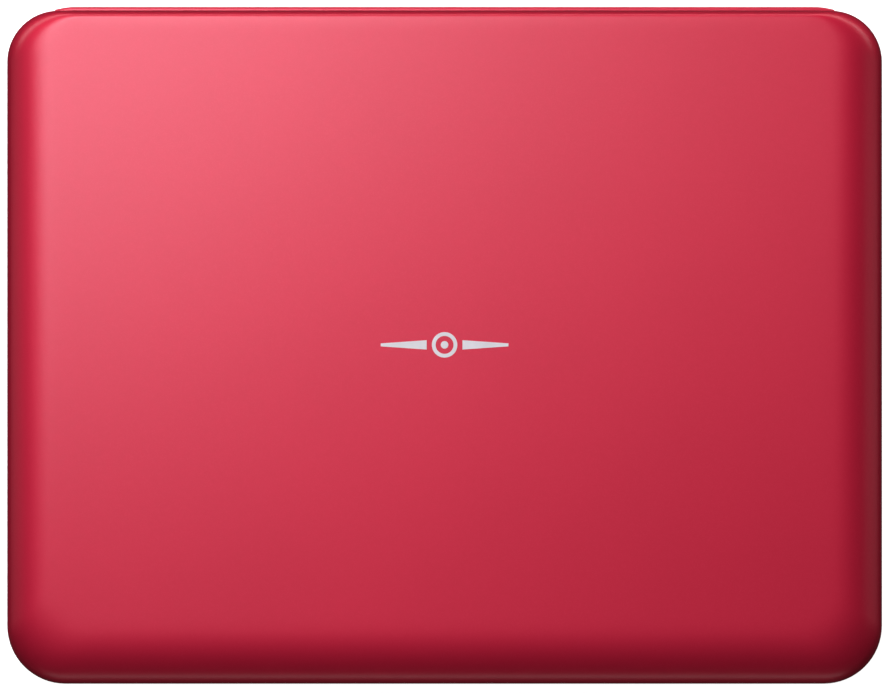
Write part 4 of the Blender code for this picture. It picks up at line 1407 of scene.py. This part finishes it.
@dataclass
class DiscDrive:
    """Disc lid, well, turntable, pickup on its rails, lead screw and motors."""

    workshop: Workshop
    well_radius: float = 61.5
    rail_offset: float = 20.0
    screw_pitch: float = 3.0
    thread_depth: float = 0.25

    def build(self) -> None:
        """Builds the drive from the lid down."""
        self.spindle = self.workshop.middle("turntable")
        self.lid()
        self.well()
        self.turntable()
        self.pickup()
        self.feed()
        self.workshop.dress(ZINC_PLATE, "drive_chassis")
        self.motor()
        self.painted_shade_sheet_under_drive()

    def lid(self) -> None:
        """Disc lid with a raised ring, a finger notch and its hinge barrel."""
        low, high = self.workshop.extent("disc_lid")
        left, right, front, hinge_y = low[0] + 3.0, high[0] - 3.0, low[1], 63.0
        plate = slab(lambda d: rounded(left + d, right - d, front + d, hinge_y - d, 2.0 - d), 19.8, high[2],
                     0.45, 5)
        hinge = (0.0, hinge_y, 19.5)
        cx, cy, _ = self.spindle
        top = high[2]
        ridge = lathe(eased([(top - 0.4, 50.0), (top + 0.25, 50.8), (top + 0.25, 52.2), (top - 0.4, 53.0)],
                            0.5, 4), (cx, cy, 0.0), steps=160, closed=True)
        groove = lathe([(top + 0.3, 20.0), (top - 0.25, 20.3), (top - 0.25, 20.9), (top + 0.3, 21.2)],
                       (cx, cy, 0.0), steps=120, closed=True)
        joins = [rod(left, right, 1.6, hinge, "X"), rod(left - 3, right + 3, 0.8, hinge, "X", 32), ridge]
        notch = lathe([(top - 0.5, 5.5), (top + 0.5, 7.5)], (cx, front - 1.0, 0.0))
        self.workshop.add("well_lid", plate, GLOSS_BLACK, "disc_lid", ["disc_lid"], joins, [groove, notch])

    def well(self) -> None:
        """Round well with a stepped floor and the pickup's slot."""
        cx, cy, _ = self.spindle
        low, high = self.workshop.extent("disc_well")
        wall, floor = self.well_radius, low[2] + 1.5
        profile = eased([
            (low[2], 0.2), (low[2], wall + 2.5), (high[2], wall + 2.5), (high[2], wall), (floor, wall),
            (floor, 30.0), (floor - 0.3, 29.5), (floor - 0.3, 0.2),
        ], 0.4)
        slot = block(cx - 17.0, cx + 17.0, -66.2, 11.0, low[2] - 1.0, floor + 1.0, 0.2, 3.0)
        self.workshop.add("well", lathe(profile, (cx, cy, 0.0), steps=144), BLACK_ABS,
                          replaces=["disc_well"], cuts=[slot])

    def turntable(self) -> None:
        """Turntable with its rubber ring, and the hub with three balls that hold the disc."""
        low, high = self.workshop.extent("turntable")
        top = high[2]
        profile = eased([
            (low[2], 0.3), (low[2], 4.5), (15.0, 4.5), (15.0, 14.0), (15.9, 14.0), (15.9, 13.0),
            (15.75, 12.8), (15.75, 9.2), (15.9, 9.0), (15.9, 7.3), (top - 0.6, 7.3), (top, 6.4), (top, 3.0),
            (top - 0.5, 2.6), (top - 0.5, 0.2),
        ], 0.25)
        body = "turntable"
        self.workshop.add("hub", lathe(profile, self.spindle), BLACK_ABS, body, ["turntable"])
        ring = [(15.75, 9.4), (15.95, 9.7), (15.95, 12.3), (15.75, 12.6)]
        self.workshop.add("grip_ring", lathe(ring, self.spindle, closed=True), RUBBER, body)
        cx, cy, _ = self.spindle
        for i in range(3):
            turn = math.radians(90 + 120 * i)
            centre = (cx + 6.7 * math.cos(turn), cy + 6.7 * math.sin(turn), 0.0)
            ball = [(17.0 + 0.95 * math.sin(math.radians(a)), 0.95 * math.cos(math.radians(a)))
                    for a in range(-85, 86, 10)]
            self.workshop.add(f"hub_ball_{i + 1}", lathe(ball, centre, steps=32), GROUND_STEEL, body)

    def pickup(self) -> None:
        """Cast carriage with the lens in its holder, on four wires between two magnets."""
        low, high = self.workshop.extent("pickup_carriage")
        x, y, _ = self.workshop.middle("pickup_lens")
        top = 11.7
        joins = [
            block(x - self.rail_offset - 2, x - 14, y - 6, y + 6, 5.9, 9.9, 0.4),
            block(x + 14, high[0], y - 4, y + 4, 5.9, 9.9, 0.4),
        ]
        cuts = [rod(-40.0, -16.0, 1.3, (x + side * self.rail_offset, 0.0, 7.9), "Y", 40)
                for side in (-1, 1)]
        cuts.append(rod(-40.0, -16.0, 1.5, self.workshop.middle("lead_screw"), "Y", 40))
        cuts += [block(x + a - 2.4, x + a + 2.4, y - 5, y + 5, top - 0.8, top + 1, 0.3)
                 for a in (-10.5, 10.5)]
        self.workshop.add("carriage", block(x - 15, x + 15, low[1], high[1], low[2], top, 0.5, 1.5),
                          ZINC_PLATE, "pickup", ["pickup_carriage"], joins, cuts)
        self.workshop.add("lens_holder", block(x - 4.4, x + 4.4, y - 4.2, y + 4.2, 11.5, 13.25, 0.3, 1.0),
                          BLACK_ABS, "pickup", cuts=[rod(12.9, 14.0, 2.45, (x, y, 0.0))])
        lens = [(13.1, 0.3), (13.1, 2.3), (13.45, 2.3)]
        lens += [(13.45 + 0.6 * math.sin(t), 2.2 * math.cos(t)) for t in
                 (math.pi / 2 * i / 10 for i in range(1, 10))]
        self.workshop.add("objective", lathe(lens, (x, y, 0.0)), COATED_LENS, "pickup", ["pickup_lens"])
        for side, hand in ((-1, "left"), (1, "right")):
            self.workshop.add("magnet_" + hand, block(x + side * 5.6 - 0.6, x + side * 5.6 + 0.6, y - 3.2,
                                                      y + 3.2, 11.6, 12.9, 0.15), GROUND_STEEL, "pickup")
            for row, z_wire in enumerate((12.0, 12.7)):
                wire = rod(y - 4.4, y + 4.4, 0.06, (x + side * 4.75, 0.0, z_wire), "Y", 12)
                self.workshop.add(f"wire_{hand}_{row + 1}", wire, TURNED_BRASS, "pickup")

    def feed(self) -> None:
        """Rails, and the lead screw with its real thread."""
        for hand in ("left", "right"):
            node = "guide_rail_" + hand
            low, high = self.workshop.extent(node)
            profile = [(low[1], 0.8), (low[1] + 0.2, 1.0), (high[1] - 0.2, 1.0), (high[1], 0.8)]
            self.workshop.add("rail_" + hand, lathe(profile, self.workshop.middle(node), "Y", 40),
                              GROUND_RAIL, replaces=[node])
        low, high = self.workshop.extent("lead_screw")
        cx, _, cz = self.workshop.middle("lead_screw")
        around, per_turn = 20, 12
        turns = (high[1] - low[1]) / self.screw_pitch
        rings = []
        for i in range(int(turns * per_turn) + 1):
            place = low[1] + i * self.screw_pitch / per_turn
            ring = []
            for j in range(around):
                phase = (i / per_turn - j / around) % 1.0
                radius = 1.2 - self.thread_depth * min(1.0, 4 * abs(phase - 0.5))
                angle = 2 * math.pi * j / around
                ring.append((cx + radius * math.cos(angle), place, cz + radius * math.sin(angle)))
            rings.append(ring)
        self.workshop.add("feed_screw", loft(rings), TURNED_BRASS, "lead_screw", ["lead_screw"], sharp=60.0)
        low, high = self.workshop.extent("feed_motor")
        can = eased([(low[1], 1.6), (low[1] + 0.4, 1.6), (low[1] + 0.4, 3.8), (high[1], 3.8),
                     (high[1], 0.3)], 0.5, 4)
        self.workshop.add("feed_motor_can", lathe(can, self.workshop.middle("feed_motor"), "Y"), ZINC_PLATE,
                          replaces=["feed_motor"])

    def motor(self) -> None:
        """Flat spindle motor with a stepped can."""
        low, high = self.workshop.extent("spindle_motor")
        can = eased([(low[2], 0.3), (low[2], 11.0), (low[2] + 1.0, 12.0), (high[2], 12.0), (high[2], 6.0),
                     (high[2] - 0.3, 5.6), (high[2] - 0.3, 0.3)], 0.4, 4)
        self.workshop.add("motor_can", lathe(can, self.workshop.middle("spindle_motor")), ZINC_PLATE,
                          replaces=["spindle_motor"])

    def painted_shade_sheet_under_drive(self) -> None:
        """Thin black sheet on the shell's floor, seen through the pickup's slot, that paints the shade under
        the drive.
        """
        low = self.workshop.extent("drive_chassis")[0][2] - 0.25
        cx = self.spindle[0]
        left, right, front, rear = cx - 22.5, cx + 34.0, -67.0, -10.0
        thick, edge, corner = 0.15, 0.05, 2.0
        # The black sheet is painted shade: it darkens the floor where the drive's shadow lies.
        self.workshop.add("drive_painted_shade_sheet",
                          block(left, right, front, rear, low, low + thick, edge, corner), PAINTED_SHADE_SHEET)


@dataclass
class Electronics:
    """The boards inside the base, with the parts that stand on them."""

    workshop: Workshop

    def build(self) -> None:
        """Dresses the boards and sets the larger packages on them."""
        self.workshop.dress(CIRCUIT_BOARD, "main_board", "key_board")
        board_top = 11.9
        places = ((47.0, -48.0, 9.0, 9.0), (62.0, -50.0, 6.0, 10.0), (47.0, 30.0, 8.0, 12.0),
                  (46.0, 10.0, 5.0, 7.0))
        for i, (x, y, width, length) in enumerate(places):
            chip = block(x - width / 2, x + width / 2, y - length / 2, y + length / 2, board_top - 0.05,
                         board_top + 1.2, 0.15)
            self.workshop.add(f"package_{i + 1}", chip, BLACK_ABS)


# ---------------------------------------------------------------- studio


@dataclass
class Lamp:
    """A soft rectangular light: place, what it faces, sides in metres, watts and colour."""

    name: str
    place: Point
    target: Point
    size: tuple[float, float]
    power: float
    colour: str = "ffffff"


@dataclass
class Studio:
    """Camera, lights and floor."""

    distance: float = 2.5
    aim: tuple[float, float] = (0.00057, -0.0005)
    sensor: float = 36.0
    lens: float = 422.6
    floor_size: float = 3.0
    floor_drop: float = 0.0002
    lamps: tuple[Lamp, ...] = (
        Lamp("key", (-0.14, 0.16, 0.5), (0.0, 0.0, 0.0), (0.25, 0.25), 1.64, "f1f3ff"),
        Lamp("key_rear", (-0.14, 0.32, 0.5), (0.0, 0.0, 0.0), (0.25, 0.25), 0.336),
        Lamp("key_middle", (0.0, 0.16, 0.5), (0.0, 0.0, 0.0), (0.25, 0.25), 0.205),
        Lamp("rear", (0.0, 0.8, 0.25), (0.0, 0.0, 0.0), (2.4, 0.3), 2.014),
        Lamp("rear_low", (0.0, 1.0, 0.08), (0.0, 0.0, 0.0), (1.0, 0.2), 1.788),
        Lamp("rear_left", (-0.9, 0.9, 0.25), (0.0, 0.0, 0.0), (1.2, 0.3), 3.8),
        Lamp("rear_right", (0.9, 0.9, 0.25), (0.0, 0.0, 0.0), (1.2, 0.3), 2.938),
        Lamp("left", (-1.0, 0.0, 0.25), (0.0, 0.0, 0.0), (0.2, 1.0), 0.302),
        Lamp("right", (1.0, 0.0, 0.25), (0.0, 0.0, 0.0), (0.2, 1.0), 0.358),
        Lamp("front", (0.0, -1.0, 0.1), (0.0, 0.0, 0.0), (1.0, 0.2), 0.7),
    )

    def build(self) -> None:
        """Builds the studio."""
        scene = bpy.context.scene
        scene.view_settings.view_transform = "Standard"
        self.camera(scene)
        self.floor(scene)
        self.world(scene)
        for lamp in self.lamps:
            self.light(scene, lamp)

    def camera(self, scene: bpy.types.Scene) -> None:
        """Camera straight above the player, with the hinge at the top of the view."""
        data = bpy.data.cameras.new("camera")
        data.sensor_width = self.sensor
        data.lens = self.lens
        data.clip_end = 10.0
        camera = bpy.data.objects.new("camera", data)
        camera.location = (*self.aim, self.distance)
        scene.collection.objects.link(camera)
        scene.camera = camera

    def floor(self, scene: bpy.types.Scene) -> None:
        """Plain pale floor, bright enough to burn out to white, that can be looked through from below."""
        half, low = self.floor_size / 2, -self.floor_drop
        corners = [(-half, -half, low), (half, -half, low), (half, half, low), (-half, half, low)]
        mesh = bpy.data.meshes.new("floor")
        mesh.from_pydata(corners, [], [(0, 1, 2, 3)])
        floor = bpy.data.objects.new("floor", mesh)
        scene.collection.objects.link(floor)
        material = bpy.data.materials.new("paper_matt_white")
        material.use_nodes = True
        tree = material.node_tree
        tree.nodes.clear()
        shader = add_node(tree, "ShaderNodeBsdfPrincipled", inputs={
            "Base Color": linear("f4f4f4"), "Roughness": 0.9, "Emission Color": linear("ffffff"),
            "Emission Strength": 0.98,
        })
        below = add_node(tree, "ShaderNodeNewGeometry").outputs["Backfacing"]
        hole = add_node(tree, "ShaderNodeBsdfTransparent")
        mixed = add_node(tree, "ShaderNodeMixShader",
                         inputs={0: below, 1: shader.outputs[0], 2: hole.outputs[0]})
        add_node(tree, "ShaderNodeOutputMaterial", inputs={"Surface": mixed.outputs[0]})
        mesh.materials.append(material)
        floor.visible_glossy = False
        floor.visible_diffuse = False

    def world(self, scene: bpy.types.Scene) -> None:
        """Even dim grey surroundings."""
        world = bpy.data.worlds.new("studio")
        world.use_nodes = True
        tree = world.node_tree
        tree.nodes.clear()
        shader = add_node(tree, "ShaderNodeBackground",
                          inputs={"Color": linear("ffffff"), "Strength": 0.026})
        add_node(tree, "ShaderNodeOutputWorld", inputs={"Surface": shader.outputs[0]})
        scene.world = world

    def light(self, scene: bpy.types.Scene, lamp: Lamp) -> None:
        """Adds one soft light, turned to its target."""
        data = bpy.data.lights.new(lamp.name, "AREA")
        data.shape = "RECTANGLE"
        data.size, data.size_y = lamp.size
        data.energy = lamp.power
        data.color = linear(lamp.colour)[:3]
        light = bpy.data.objects.new(lamp.name, data)
        light.location = lamp.place
        aim = Vector(lamp.target) - Vector(lamp.place)
        light.rotation_euler = aim.to_track_quat("-Z", "Y").to_euler()
        light.visible_camera = False
        scene.collection.objects.link(light)


def main() -> None:
    """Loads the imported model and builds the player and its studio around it."""
    logging.basicConfig(level=logging.INFO, format="%(name)s: %(message)s")
    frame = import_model()
    workshop = Workshop(frame)
    case = Case(workshop)
    keypad = Keypad(workshop)
    for assembly in (
        ScreenLid(workshop, case),
        HingeTrough(workshop, case),
        BottomCase(workshop, case),
        Deck(workshop, case, keypad),
        keypad,
        SideControls(workshop),
        DiscDrive(workshop),
        Electronics(workshop),
        Studio(),
    ):
        LOG.info("building %s", type(assembly).__name__)
        assembly.build()


if __name__ == "__main__":
    main()
